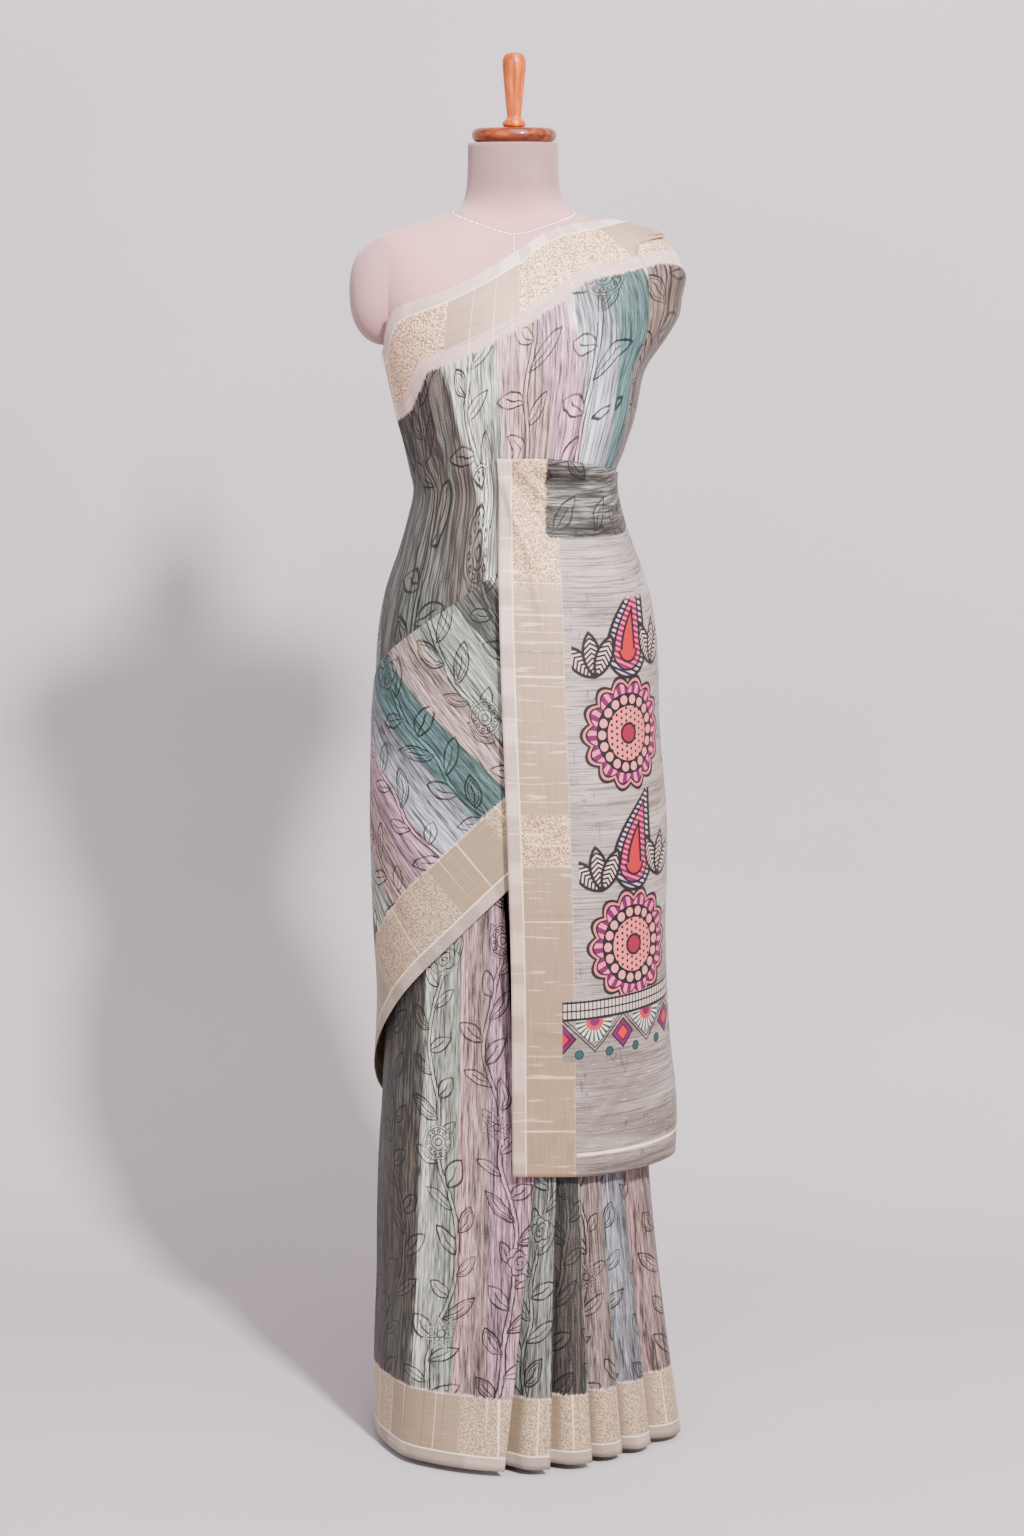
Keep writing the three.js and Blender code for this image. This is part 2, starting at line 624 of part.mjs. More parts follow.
function stand() {
  const group = new THREE.Group();
  group.add(named('stand_base', foot(), darkMetal));
  const poleLength = FORM_BOTTOM_Z - FOOT_HEIGHT - 2 * SEAM_GAP;
  const pole = new THREE.CylinderGeometry(POLE_RADIUS, POLE_RADIUS, poleLength, 24);
  pole.rotateX(Math.PI / 2);
  const mesh = named('stand_pole', pole, darkMetal);
  mesh.position.z = FOOT_HEIGHT + SEAM_GAP + poleLength / 2;
  group.add(mesh);
  return group;
}

function saree() {
  const cloth = new THREE.Group();
  cloth.add(named('skirt_wrap', skirtWrap(), printedSilk));
  cloth.add(named('front_pleats', frontPleats(), printedSilk));
  cloth.add(named('hip_swath', hipSwath(), hipSilk));
  cloth.add(named('bodice_swath', bodiceSwath(), bodiceSilk));
  cloth.add(named('shoulder_fall', shoulderFall(), bodiceSilk));
  cloth.add(named('pallu_end', palluEnd(), palluSilk));
  return cloth;
}

const model = new THREE.Group();
model.add(stand());
model.add(dressForm());
model.add(saree());

export default model;
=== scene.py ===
import math

import bmesh
import bpy
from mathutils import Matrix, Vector, kdtree, noise


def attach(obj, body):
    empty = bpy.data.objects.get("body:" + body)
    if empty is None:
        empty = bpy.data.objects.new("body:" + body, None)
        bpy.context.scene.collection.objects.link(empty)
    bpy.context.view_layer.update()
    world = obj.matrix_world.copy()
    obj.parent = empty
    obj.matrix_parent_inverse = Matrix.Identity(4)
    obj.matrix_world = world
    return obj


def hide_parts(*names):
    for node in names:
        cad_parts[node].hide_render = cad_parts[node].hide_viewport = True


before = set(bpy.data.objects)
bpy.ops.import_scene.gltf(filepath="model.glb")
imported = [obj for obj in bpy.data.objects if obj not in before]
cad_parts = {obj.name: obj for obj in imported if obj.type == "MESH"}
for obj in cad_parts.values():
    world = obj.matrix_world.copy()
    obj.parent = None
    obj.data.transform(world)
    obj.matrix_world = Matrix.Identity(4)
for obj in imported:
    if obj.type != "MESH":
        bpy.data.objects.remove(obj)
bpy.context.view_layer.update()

# Camera: it stands in front of the object at the height of the chest and looks slightly down,
# with a lens that frames the whole form from the knob to the hem.
CAMERA_PLACE = Vector((-0.0023, -3.9, 1.366))
CAMERA_AIM = Vector((-0.0023, 0.0, 0.776))
camera_data = bpy.data.cameras.new("camera")
camera_data.sensor_width = 36
camera_data.lens = 81.52
camera = bpy.data.objects.new("camera", camera_data)
camera.location = CAMERA_PLACE
camera.rotation_euler = (CAMERA_AIM - CAMERA_PLACE).to_track_quat("-Z", "Y").to_euler()
bpy.context.collection.objects.link(camera)
bpy.context.scene.camera = camera


# Studio floor that sweeps up into a wall: matt painted board in one piece, nearly white.
# It only carries the soft shadow of the object.
class Wire:
    """A number in a material's node tree that can be used in sums."""

    def __init__(self, tree, socket):
        self.tree, self.socket = tree, socket

    def math(self, operation, *others):
        node = self.tree.nodes.new("ShaderNodeMath")
        node.operation = operation
        for slot, value in zip(node.inputs, (self, *others)):
            join(self.tree, value, slot)
        return Wire(self.tree, node.outputs[0])

    def __add__(self, other):
        return self.math("ADD", other)

    def __radd__(self, other):
        return self.math("ADD", other)

    def __sub__(self, other):
        return self.math("SUBTRACT", other)

    def __rsub__(self, other):
        return self.math("MULTIPLY_ADD", -1.0, other)

    def __mul__(self, other):
        return self.math("MULTIPLY", other)

    def __rmul__(self, other):
        return self.math("MULTIPLY", other)

    def __truediv__(self, other):
        return self.math("DIVIDE", other)

    def absolute(self):
        return self.math("ABSOLUTE")

    def floor(self):
        return self.math("FLOOR")

    def wrap(self, size):
        return self.math("FLOORED_MODULO", size)

    def least(self, other):
        return self.math("MINIMUM", other)

    def most(self, other):
        return self.math("MAXIMUM", other)

    def above(self, other):
        return self.math("GREATER_THAN", other)

    def fade(self, start, end):
        """From 0 at start to 1 at end, eased, either way round."""
        node = self.tree.nodes.new("ShaderNodeMapRange")
        node.interpolation_type = "SMOOTHSTEP"
        join(self.tree, self, node.inputs["Value"])
        reverse = start > end
        node.inputs["From Min"].default_value = end if reverse else start
        node.inputs["From Max"].default_value = start if reverse else end
        node.inputs["To Min"].default_value = 1.0 if reverse else 0.0
        node.inputs["To Max"].default_value = 0.0 if reverse else 1.0
        return Wire(self.tree, node.outputs["Result"])


def join(tree, value, slot):
    if isinstance(value, Wire):
        tree.links.new(value.socket, slot)
    else:
        slot.default_value = value


def linear(color):
    """A screen colour from 0 to 255 as linear light."""
    parts = [c / 255 for c in color]
    return tuple(((c + 0.055) / 1.055) ** 2.4 if c > 0.04045 else c / 12.92 for c in parts) + (1.0,)


SCREEN_LIGHT = (  # a screen value and the light that shows as it
    (0, 0.0), (18, 0.01), (42, 0.03), (65, 0.06), (87, 0.10), (111, 0.16), (136, 0.25), (160, 0.40),
    (177, 0.60), (189, 0.80), (197, 1.0), (205, 1.3), (211, 1.6), (217, 2.0), (223, 2.5), (233, 4.0),
    (241, 6.0),
)
STUDIO_LIGHT = 4.0


def between(table, place, column=1):
    """Straight lines through a table's rows, carried on past both ends."""
    i = 0
    while i < len(table) - 2 and place > table[i + 1][0]:
        i += 1
    share = (place - table[i][0]) / (table[i + 1][0] - table[i][0])
    return table[i][column] + share * (table[i + 1][column] - table[i][column])


def seen(color):
    """The surface colour that shows as a screen colour in the studio's light."""
    return tuple(min(between(SCREEN_LIGHT, c) / STUDIO_LIGHT, 0.95) for c in color) + (1.0,)


def mixed(tree, amount, first, second, how="MIX"):
    node = tree.nodes.new("ShaderNodeMix")
    node.data_type = "RGBA"
    node.blend_type = how
    join(tree, amount, node.inputs["Factor"])
    as_light = linear if how == "MULTIPLY" else seen
    for value, slot in ((first, node.inputs["A"]), (second, node.inputs["B"])):
        join(tree, as_light(value) if isinstance(value, tuple) else value, slot)
    return Wire(tree, node.outputs["Result"])


def grain(tree, place, scale, detail=2.0, roughness=0.5):
    node = tree.nodes.new("ShaderNodeTexNoise")
    join(tree, place, node.inputs["Vector"])
    node.inputs["Scale"].default_value = scale
    node.inputs["Detail"].default_value = detail
    node.inputs["Roughness"].default_value = roughness
    return Wire(tree, node.outputs["Fac"])


def object_place(tree):
    node = tree.nodes.new("ShaderNodeTexCoord")
    return Wire(tree, node.outputs["Object"])


def surface(name):
    """A new material and its shader."""
    material = bpy.data.materials.new(name)
    material.use_nodes = True
    return material, material.node_tree, material.node_tree.nodes["Principled BSDF"]


def shown(name, bm, material, smooth_shaded=True):
    mesh = bpy.data.meshes.new(name)
    bm.to_mesh(mesh)
    bm.free()
    if smooth_shaded:
        mesh.shade_smooth()
    mesh.materials.append(material)
    piece = bpy.data.objects.new(name, mesh)
    bpy.context.collection.objects.link(piece)
    return piece


STUDIO_HALF = 6.0
WALL_Y = 1.15
SWEEP_RADIUS = 0.5
floor_run = WALL_Y - SWEEP_RADIUS + STUDIO_HALF
arc_run = SWEEP_RADIUS * math.pi / 2
sweep = bmesh.new()
bmesh.ops.create_grid(sweep, x_segments=2, y_segments=60, size=0.5)
for vertex in sweep.verts:
    along_sweep = (vertex.co.y + 0.5) * 2 * STUDIO_HALF
    turn = min(max((along_sweep - floor_run) / arc_run, 0.0), 1.0) * math.pi / 2
    y = min(along_sweep, floor_run) - STUDIO_HALF + SWEEP_RADIUS * math.sin(turn)
    z = SWEEP_RADIUS * (1 - math.cos(turn)) + max(along_sweep - floor_run - arc_run, 0.0)
    vertex.co = Vector((vertex.co.x * 2 * STUDIO_HALF, y, z))
board, tree, shader = surface("studio_board")
mottle = grain(tree, object_place(tree), 1.6, 3.0)
tree.links.new(mixed(tree, mottle, (212, 208, 209), (207, 203, 205)).socket, shader.inputs["Base Color"])
shader.inputs["Roughness"].default_value = 0.9
shader.inputs["Specular IOR Level"].default_value = 0.1
shown("studio_sweep", sweep, board)


# Lamps: a small key from the right that throws the soft shadow on the wall, a wide fill from
# the left, a soft lamp above, and the even light of a pale room.
def lamp(name, place, aim, width, power, color=(1.0, 1.0, 1.0)):
    data = bpy.data.lights.new(name, "AREA")
    data.size = width
    data.energy = power
    data.color = color
    light = bpy.data.objects.new(name, data)
    light.location = place
    light.rotation_euler = (Vector(aim) - Vector(place)).to_track_quat("-Z", "Y").to_euler()
    bpy.context.collection.objects.link(light)


lamp("key", (1.4, -3.3, 3.15), (0, 0, 1.1), 0.34, 640, (1.0, 0.985, 0.965))
lamp("fill", (-2.2, -3.6, 1.9), (0, 0, 0.9), 3.0, 72, (0.97, 0.98, 1.0))
lamp("top", (0.3, -0.9, 3.1), (0, 0.1, 0.9), 1.2, 45)
world = bpy.data.worlds.new("studio")
world.use_nodes = True
world.node_tree.nodes["Background"].inputs["Color"].default_value = (0.95, 0.95, 1.0, 1.0)
world.node_tree.nodes["Background"].inputs["Strength"].default_value = 1.25
bpy.context.scene.world = world


# Padded body of the dress form: a moulded shell under a tight jersey cover in pale rose,
# sewn at the base of the neck and down the middle of the chest.
FORM_SECTIONS = (  # height, half sizes to the left, right, front and back, squareness
    (690, 138, 138, 104, 110, 2.2),
    (700, 147, 147, 112, 120, 2.2),
    (780, 150, 150, 116, 124, 2.2),
    (860, 149, 149, 113, 121, 2.2),
    (915, 145, 146, 108, 114, 2.2),
    (975, 134, 135, 100, 102, 2.2),
    (1030, 119, 117, 91, 89, 2.2),
    (1089, 110, 105.5, 86, 80, 2.2),
    (1130, 114, 111.5, 90, 83, 2.2),
    (1175, 125, 125, 102, 89, 2.2),
    (1225, 136, 137, 113, 95, 2.2),
    (1265, 144, 144, 111, 98, 2.2),
    (1300, 151, 150, 100, 96, 2.3),
    (1330, 155, 154, 86, 90, 2.3),
    (1350, 156, 155, 72, 80, 2.3),
    (1362, 156, 152, 61, 71, 2.3),
    (1371, 152, 145, 52, 63, 2.3),
    (1379, 133, 127, 46, 57, 2.2),
    (1387, 104, 103, 43, 53, 2.1),
    (1395, 80, 79, 42, 51, 2),
    (1404, 62, 60, 43, 50, 2),
    (1414, 55, 53, 44, 49, 2),
    (1434, 52, 50, 46, 48, 2),
    (1474, 51, 49, 48, 48, 2),
)


def along(table, place, column=1):
    """A smooth curve through a table's rows: the value of one column at a place along the first."""
    last = len(table) - 1
    at = min(max(place, table[0][0]), table[last][0])
    i = 0
    while i < last - 1 and at > table[i + 1][0]:
        i += 1

    def slope(k):
        before, after = table[max(k - 1, 0)], table[min(k + 1, last)]
        return (after[column] - before[column]) / (after[0] - before[0])

    span = table[i + 1][0] - table[i][0]
    t = (at - table[i][0]) / span
    rise = table[i + 1][column] - table[i][column]
    start, end = slope(i) * span, slope(i + 1) * span
    curve = (start + end - 2 * rise) * t**3 + (3 * rise - 2 * start - end) * t**2
    return table[i][column] + start * t + curve


def smooth(start, end, value):
    """An eased change from 0 to 1 as a value passes from one bound to the other, either way."""
    t = min(max((value - start) / (end - start), 0.0), 1.0)
    return t * t * (3 - 2 * t)


def reach(sections, angle, z):
    """Millimetres from the upright axis to a surface, at an angle in degrees and a height."""
    across, forward = math.cos(math.radians(angle)), math.sin(math.radians(angle))
    side = along(sections, z, 1 if across < 0 else 2)
    depth = along(sections, z, 3 if forward < 0 else 4)
    power = along(sections, z, 5)
    return ((abs(across) / side) ** power + (abs(forward) / depth) ** power) ** (-1 / power)


SHOULDER_ROUND = (1338, 1384)
UPWARD_MOST = 0.85


def draped(sections, angle, z, lift):
    """A point in metres that stands off a surface: outward on the body, upward on the shoulder's top."""
    upward = UPWARD_MOST * smooth(*SHOULDER_ROUND, z)
    radius = reach(sections, angle, z) + lift * (1 - 0.5 * upward)
    turn = math.radians(angle)
    return Vector((radius * math.cos(turn), radius * math.sin(turn), z + lift * upward)) / 1000


NECK_SEAM = (  # angle, height
    (-180, 1403), (-150, 1392), (-120, 1381), (-90, 1374.5), (-60, 1380), (-30, 1391),
    (0, 1402), (60, 1408), (120, 1408), (180, 1403),
)
FORM_BOTTOM, NECK_TOP = 690, 1474
SEAM_LEAN = 1.15
NO_SEAM = 30
body = bmesh.new()
bmesh.ops.create_grid(body, x_segments=160, y_segments=190, size=0.5)
neck_gap = body.verts.layers.float.new("neck_seam")
front_gap = body.verts.layers.float.new("front_seam")
for vertex in body.verts:
    angle = 360 * vertex.co.x
    z = FORM_BOTTOM + (NECK_TOP - FORM_BOTTOM) * (vertex.co.y + 0.5)
    vertex.co = draped(FORM_SECTIONS, angle, z, 0)
    vertex[neck_gap] = (z - along(NECK_SEAM, angle)) * SEAM_LEAN
    below = z < along(NECK_SEAM, angle) + 1 and vertex.co.y < 0
    vertex[front_gap] = vertex.co.x * 1000 if below else NO_SEAM
bmesh.ops.remove_doubles(body, verts=body.verts, dist=0.00005)
bmesh.ops.holes_fill(body, edges=body.edges, sides=400)
bmesh.ops.recalc_face_normals(body, faces=body.faces)


def split(tree, value):
    node = tree.nodes.new("ShaderNodeSeparateXYZ")
    join(tree, value, node.inputs[0])
    return [Wire(tree, out) for out in node.outputs]


def raised(tree, shader, height, distance, strength=1.0):
    bump = tree.nodes.new("ShaderNodeBump")
    bump.inputs["Distance"].default_value = distance
    bump.inputs["Strength"].default_value = strength
    join(tree, height, bump.inputs["Height"])
    tree.links.new(bump.outputs["Normal"], shader.inputs["Normal"])


def attribute(tree, name):
    node = tree.nodes.new("ShaderNodeAttribute")
    node.attribute_name = name
    return Wire(tree, node.outputs["Fac"])


def jersey(name, seamed, low=(218, 196, 193), high=(192, 168, 166)):
    """Fine knitted cover, slightly blotched, with a raised pale thread along each seam; painted shade
    darkens it from the low colour to the high one up the neck.
    """
    material, tree, shader = surface(name)
    place = object_place(tree)
    x, y, z = split(tree, place)
    blotch = grain(tree, place, 9.0, 3.0, 0.6)
    fine = grain(tree, place, 900.0, 2.0, 0.7)
    # Painted shade: above the seam the neck turns from the low colour to the darker high one, for the
    # shade on it.
    wash = mixed(tree, z.fade(1.39, 1.43), low, high)
    tone = mixed(tree, blotch.fade(0.3, 0.7), wash, mixed(tree, 0.5, wash, (212, 190, 191)))
    rib = ((x * 1000 + y * 700) * 5.2).math("SINE") * 0.5 + 0.5
    knit = (z * 1000 * 4.4 + rib * 1.5).math("SINE") * 0.5 + 0.5
    weave = (knit * 0.5 + fine * 0.8).fade(0.1, 1.1)
    tone = mixed(tree, weave * 0.10, tone, (168, 146, 150))
    height = weave * 0.25
    if seamed:
        neck = attribute(tree, "neck_seam").absolute()
        front = attribute(tree, "front_seam").absolute()
        line = neck.least(front)
        thread = line.fade(0.9, 0.45)
        hollow = line.fade(4.0, 0.6)
        dashes = ((x + z) * 1500).math("SINE").fade(-0.9, -0.2)
        tone = mixed(tree, hollow * 0.22, tone, (168, 142, 146))
        tone = mixed(tree, thread * dashes * 0.75, tone, (243, 236, 236))
        height = height + thread * dashes * 2.0 - hollow * 1.6
    tree.links.new(tone.socket, shader.inputs["Base Color"])
    raised(tree, shader, height, 0.0004, 0.6)
    shader.inputs["Roughness"].default_value = 0.85
    shader.inputs["Specular IOR Level"].default_value = 0.2
    shader.inputs["Sheen Weight"].default_value = 0.25
    shader.inputs["Sheen Roughness"].default_value = 0.5
    return material


form = shown("form_cover_body", body, jersey("jersey_body", True))
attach(form, "root")
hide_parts("form_body")

# Rounded pads over the armholes: foam under the same jersey, drawn onto the body by a seam.
# The left one shows beside the bare shoulder and the right one is under the cloth.
PADS = (  # name, side, outermost x, height of the middle, half height
    ("left", -1, 183, 1311, 59),
    ("right", 1, 178, 1319, 49),
)
PAD_ROOT_X, PAD_HALF_DEPTH, PAD_SQUARENESS = 140, 48, 0.86
# Painted shade: the pads get a darker copy of the body's jersey, for the shade they sit in.
shaded_pad_jersey = jersey("jersey_pad_shaded", False, (198, 175, 173))
for name, side, reach_x, middle_z, half_height in PADS:
    pad = bmesh.new()
    bmesh.ops.create_uvsphere(pad, u_segments=72, v_segments=48, radius=1.0)
    for vertex in pad.verts:
        x, y, z = (math.copysign(abs(c) ** PAD_SQUARENESS, c) for c in vertex.co)
        x = side * PAD_ROOT_X + x * (reach_x - PAD_ROOT_X)
        vertex.co = Vector((x, y * PAD_HALF_DEPTH, middle_z + z * half_height)) / 1000
    piece = shown(f"form_cover_pad_{name}", pad, shaded_pad_jersey)
    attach(piece, "root")
    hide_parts(f"form_arm_cap_{name}")


# Wooden disc on the neck: turned from red-brown hardwood with a round edge, stained and
# varnished, screwed down through its middle.
def turned(name, profile, material):
    """A piece turned about the upright axis from radii and heights in millimetres."""
    bm = bmesh.new()
    points = [bm.verts.new((radius / 1000, 0, height / 1000)) for radius, height in profile]
    edges = [bm.edges.new(pair) for pair in zip(points, points[1:])]
    bmesh.ops.spin(
        bm, geom=points + edges, cent=(0, 0, 0), axis=(0, 0, 1), angle=math.tau, steps=72, use_merge=True
    )
    bmesh.ops.remove_doubles(bm, verts=bm.verts, dist=0.000005)
    bmesh.ops.recalc_face_normals(bm, faces=bm.faces)
    return shown(name, bm, material)


def vector(tree, x, y, z=0.0):
    node = tree.nodes.new("ShaderNodeCombineXYZ")
    for value, slot in zip((x, y, z), node.inputs):
        join(tree, value, slot)
    return Wire(tree, node.outputs[0])


def varnished(name, light, dark, along_grain):
    """Clear-varnished wood: fine dark pores and soft bands that run with the grain."""
    material, tree, shader = surface(name)
    x, y, z = split(tree, object_place(tree))
    if along_grain == "z":
        place = vector(tree, x * 9.0, y * 9.0, z)
    else:
        place = vector(tree, x, y * 9.0, z * 9.0)
    wander = grain(tree, place, 7.0, 2.0)
    band = (grain(tree, place, 22.0, 3.0, 0.55) + wander * 0.5).fade(0.48, 0.95)
    pore = grain(tree, place, 130.0, 2.0, 0.6).fade(0.60, 0.72)
    tone = mixed(tree, band, light, dark)
    tone = mixed(tree, pore * 0.35, tone, (92, 44, 18))
    tree.links.new(tone.socket, shader.inputs["Base Color"])
    shader.inputs["Roughness"].default_value = 0.4
    shader.inputs["Specular IOR Level"].default_value = 0.2
    shader.inputs["Coat Weight"].default_value = 0.55
    shader.inputs["Coat Roughness"].default_value = 0.06
    raised(tree, shader, pore, 0.0002, 0.25)
    return material


DISC_BOTTOM, DISC_HEIGHT, DISC_RADIUS = 1474.5, 15.5, 47
disc_round = DISC_HEIGHT / 2
disc_profile = [(0, DISC_BOTTOM), (DISC_RADIUS - disc_round, DISC_BOTTOM)]
for step in range(1, 12):
    turn = step / 12 * math.pi
    radius = DISC_RADIUS - disc_round + disc_round * math.sin(turn)
    disc_profile.append((radius, DISC_BOTTOM + disc_round * (1 - math.cos(turn))))
disc_profile += [(DISC_RADIUS - disc_round, DISC_BOTTOM + DISC_HEIGHT), (0, DISC_BOTTOM + DISC_HEIGHT)]
disc = turned("neck_disc", disc_profile, varnished("red_wood", (196, 100, 0), (128, 34, 0), "x"))
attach(disc, "root")
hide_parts("neck_cap")

# Knob: a lighter wooden handle, turned with a ball foot and a club-shaped grip, varnished
# and glued into the disc. The form is lifted by it.
KNOB_PROFILE = (
    (0, 0), (9.5, 0), (12.2, 1.6), (12.9, 4.4), (11.4, 7.6), (8.4, 10.4), (7.9, 14), (9, 24),
    (10.6, 40), (12.2, 57), (13, 68), (12.2, 75), (9.4, 79.6), (5, 81.4), (0, 82),
)
KNOB_SEAT = 0.5
KNOB_BOTTOM = DISC_BOTTOM + DISC_HEIGHT + KNOB_SEAT


def rounded(profile, steps=6):
    """The profile as a smooth curve through its points."""
    table = [(i, radius, height) for i, (radius, height) in enumerate(profile)]
    last = (len(profile) - 1) * steps
    return [(max(along(table, i / steps, 1), 0.0), along(table, i / steps, 2)) for i in range(last + 1)]


knob_profile = [(radius, KNOB_BOTTOM + height) for radius, height in KNOB_PROFILE]
knob_wood = varnished("golden_wood", (220, 156, 0), (186, 96, 0), "z")
knob = turned("neck_knob", knob_profile[:1] + rounded(knob_profile[1:]), knob_wood)
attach(knob, "root")
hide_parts("neck_finial")

# Pole and foot: steel tube and round plate in dark powder coat, hidden by the skirt.
# The CAD pieces stay and take a fine pebbled finish.
coat, tree, shader = surface("powder_coat")
pebble = grain(tree, object_place(tree), 1500.0, 2.0)
tree.links.new(mixed(tree, pebble, (40, 40, 42), (66, 66, 68)).socket, shader.inputs["Base Color"])
shader.inputs["Roughness"].default_value = 0.55
shader.inputs["Metallic"].default_value = 0.4
raised(tree, shader, pebble, 0.0002, 0.5)
for node_name in ("stand_pole", "stand_base"):
    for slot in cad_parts[node_name].material_slots:
        slot.material = coat

# First wrap of the skirt: slub silk woven in broad stripes, printed with vines in dark line,
# tucked in at the waist. Its gold-bordered selvedge is the hem, which clears the floor.
CLOTH_SECTIONS = (  # height, half sizes to the left, right, front and back, squareness
    (8, 160, 160, 172, 152, 2.2),
    (90, 159, 156, 156, 148, 2.2),
    (200, 155, 150, 146, 142, 2.2),
    (320, 153, 147, 139, 137, 2.2),
    (420, 148, 146, 133, 133, 2.2),
    (510, 144, 148, 129, 131, 2.2),
    (600, 150, 151, 125, 130, 2.2),
    (700, 154, 154, 122, 130, 2.2),
    (780, 154, 154, 120, 128, 2.2),
    (860, 152, 153, 117, 125, 2.2),
    (915, 148, 150, 112, 118, 2.2),
    (975, 138, 139, 104, 106, 2.2),
    (1030, 122, 121, 95, 93, 2.2),
    (1089, 112, 108, 88, 82, 2.2),
    (1112, 114, 110.5, 90, 84, 2.2),
    (1135, 118, 119.5, 94, 87, 2.2),
    (1175, 128, 132, 105, 92, 2.2),
    (1225, 139, 142, 116, 98, 2.2),
    (1262, 147, 166, 114, 101, 2.2),
    (1285, 151, 179, 108, 100, 2.2),
    (1304, 154, 182, 101, 98, 2.3),
    (1330, 159, 187, 89, 92, 2.3),
    (1350, 160, 180, 76, 83, 2.3),
    (1364, 160, 170, 64, 73, 2.3),
    (1374, 150, 160, 54, 64, 2.3),
    (1382, 128, 135, 48, 58, 2.2),
    (1389, 102, 108, 45, 54, 2.1),
    (1396, 80, 84, 44, 52, 2),
)
PLEAT_FOLDS = (  # angle at the waist, in the middle, reach there, angle at the hem, reach there
    (-96, -81.8, 153, -93.5, 178),
    (-88, -72.5, 156, -76.8, 175),
    (-80, -62.8, 158, -59.1, 171),
    (-72, -53.0, 160, -43.0, 168),
    (-64, -40.5, 161, -28.4, 178),
    (-56, -16.5, 160, -9.4, 196),
)
HEM, PLEAT_MIDDLE, THIGH, HIPS, TUCK = 8, 330, 560, 900, 1030
PLEAT_STAND_OFF = 9.8
PLEAT_SINK, THIGH_SINK, HEM_SINK = 7.5, 2.5, 22
CLOTH_WIDTH = 1.15
CLOTH_THICKNESS = 0.001
DEGREE = 2.6


def on_form(angle, z):
    """How far the tucked top of a layer comes in from the cloth surface to lie on the form."""
    return reach(FORM_SECTIONS, angle, z) - reach(CLOTH_SECTIONS, angle, z)


def pleat_fold(index, z):
    """Angle, reach, share of the way down and sink of one pleat's outer fold at a height."""
    waist, middle, middle_reach, hem, hem_reach = PLEAT_FOLDS[index]
    down = min(max((PLEAT_MIDDLE - z) / (PLEAT_MIDDLE - HEM), 0.0), 1.0)
    up = smooth(PLEAT_MIDDLE, TUCK, z)
    angle = middle + (hem - middle) * down + (waist - middle) * up
    sink = PLEAT_SINK + THIGH_SINK * smooth(HIPS, THIGH, z) + HEM_SINK * down
    tucked = on_form(angle, z) * smooth(HIPS, TUCK, z)
    waist_reach = reach(CLOTH_SECTIONS, angle, z) + PLEAT_STAND_OFF + tucked
    low_reach = middle_reach + (hem_reach - middle_reach) * down**1.3
    rise = smooth(PLEAT_MIDDLE, THIGH, z)
    return angle, low_reach + (waist_reach - low_reach) * rise, down, sink


def creased(creases, angle, z):
    """The height of soft ridges and troughs that run from point to point and fade at their ends."""
    total = 0.0
    for angle_a, z_a, angle_b, z_b, height, width in creases:
        ax, bx, px = (DEGREE * a for a in (angle_a, angle_b, angle))
        run_x, run_z = bx - ax, z_b - z_a
        share = ((px - ax) * run_x + (z - z_a) * run_z) / (run_x**2 + run_z**2)
        held = min(max(share, 0.0), 1.0)
        gap = math.hypot(px - ax - held * run_x, z - z_a - held * run_z)
        if gap < 3 * width:
            total += height * math.sin(math.pi * held) ** 0.6 * math.exp(-((gap / width) ** 2))
    return total


def uneven(angle, z, size, seed):
    """A slow unevenness of hand-draped cloth, in millimetres."""
    turn = math.radians(angle)
    place = Vector((1.5 * math.cos(turn), 1.5 * math.sin(turn), z / 130 + seed))
    return size * noise.noise(place * 1.3)


def cloth(name, columns, rows, place, pattern, material, inward=True):
    """A thin sheet from a grid: place gives its form and pattern its position on the flat cloth."""
    bm = bmesh.new()
    bmesh.ops.create_grid(bm, x_segments=columns, y_segments=rows, size=0.5)
    stripe = bm.verts.layers.float.new("stripe")
    layer = bm.loops.layers.uv.new("cloth")
    lines = {}
    for vertex in bm.verts:
        s, t = vertex.co.x + 0.5, vertex.co.y + 0.5
        lines.setdefault(round(t * rows), []).append((s, t, vertex))
    flat = {}
    for line in lines.values():
        line.sort(key=lambda entry: entry[0])
        run, before = 0.0, None
        for s, t, vertex in line:
            point, angle, z = place(s, t)
            run += (point - before).length if before else 0.0
            before = point
            vertex.co = point
            flat[vertex] = pattern(angle, z, run, point, s)
    for vertex, (_, _, number) in flat.items():
        vertex[stripe] = number
    for face in bm.faces:
        for loop in face.loops:
            loop[layer].uv = flat[loop.vert][:2]
    piece = shown(name, bm, material)
    solid = piece.modifiers.new("thickness", "SOLIDIFY")
    solid.thickness = CLOTH_THICKNESS
    solid.offset = -1 if inward else 0
    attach(piece, "root")
    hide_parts(name.removeprefix("cloth_"))
    return piece


def turned_by(x, y, angle):
    """Coordinates after a turn by an angle that may be a wire."""
    if isinstance(angle, Wire):
        sine, cosine = angle.math("SINE"), angle.math("COSINE")
    else:
        sine, cosine = math.sin(angle), math.cos(angle)
    return x * cosine - y * sine, x * sine + y * cosine


def random_of(tree, *parts):
    node = tree.nodes.new("ShaderNodeTexWhiteNoise")
    place = vector(tree, *parts)
    join(tree, place, node.inputs["Vector"])
    return split(tree, Wire(tree, node.outputs["Color"]))


def length_of(x, y):
    return (x * x + y * y).math("SQRT")


def pointed_leaf(x, y, length, width):
    """Distance outside a pointed leaf that grows along +Y from the origin, negative inside."""
    radius = (length**2 + width**2) / (4 * width)
    return length_of(x.absolute() + (radius - width / 2), y - length / 2) - radius


def pen(distance, width):
    """A drawn line where a distance is near nothing."""
    return distance.absolute().fade(width, width * 0.35)


FLOWER_RADIUS = 21
ROSE_PETALS, LILY_PETALS, MEDALLION_BEADS = 5, 8, 11
LILIES_ABOVE, MEDALLIONS_ABOVE = 0.36, 0.7


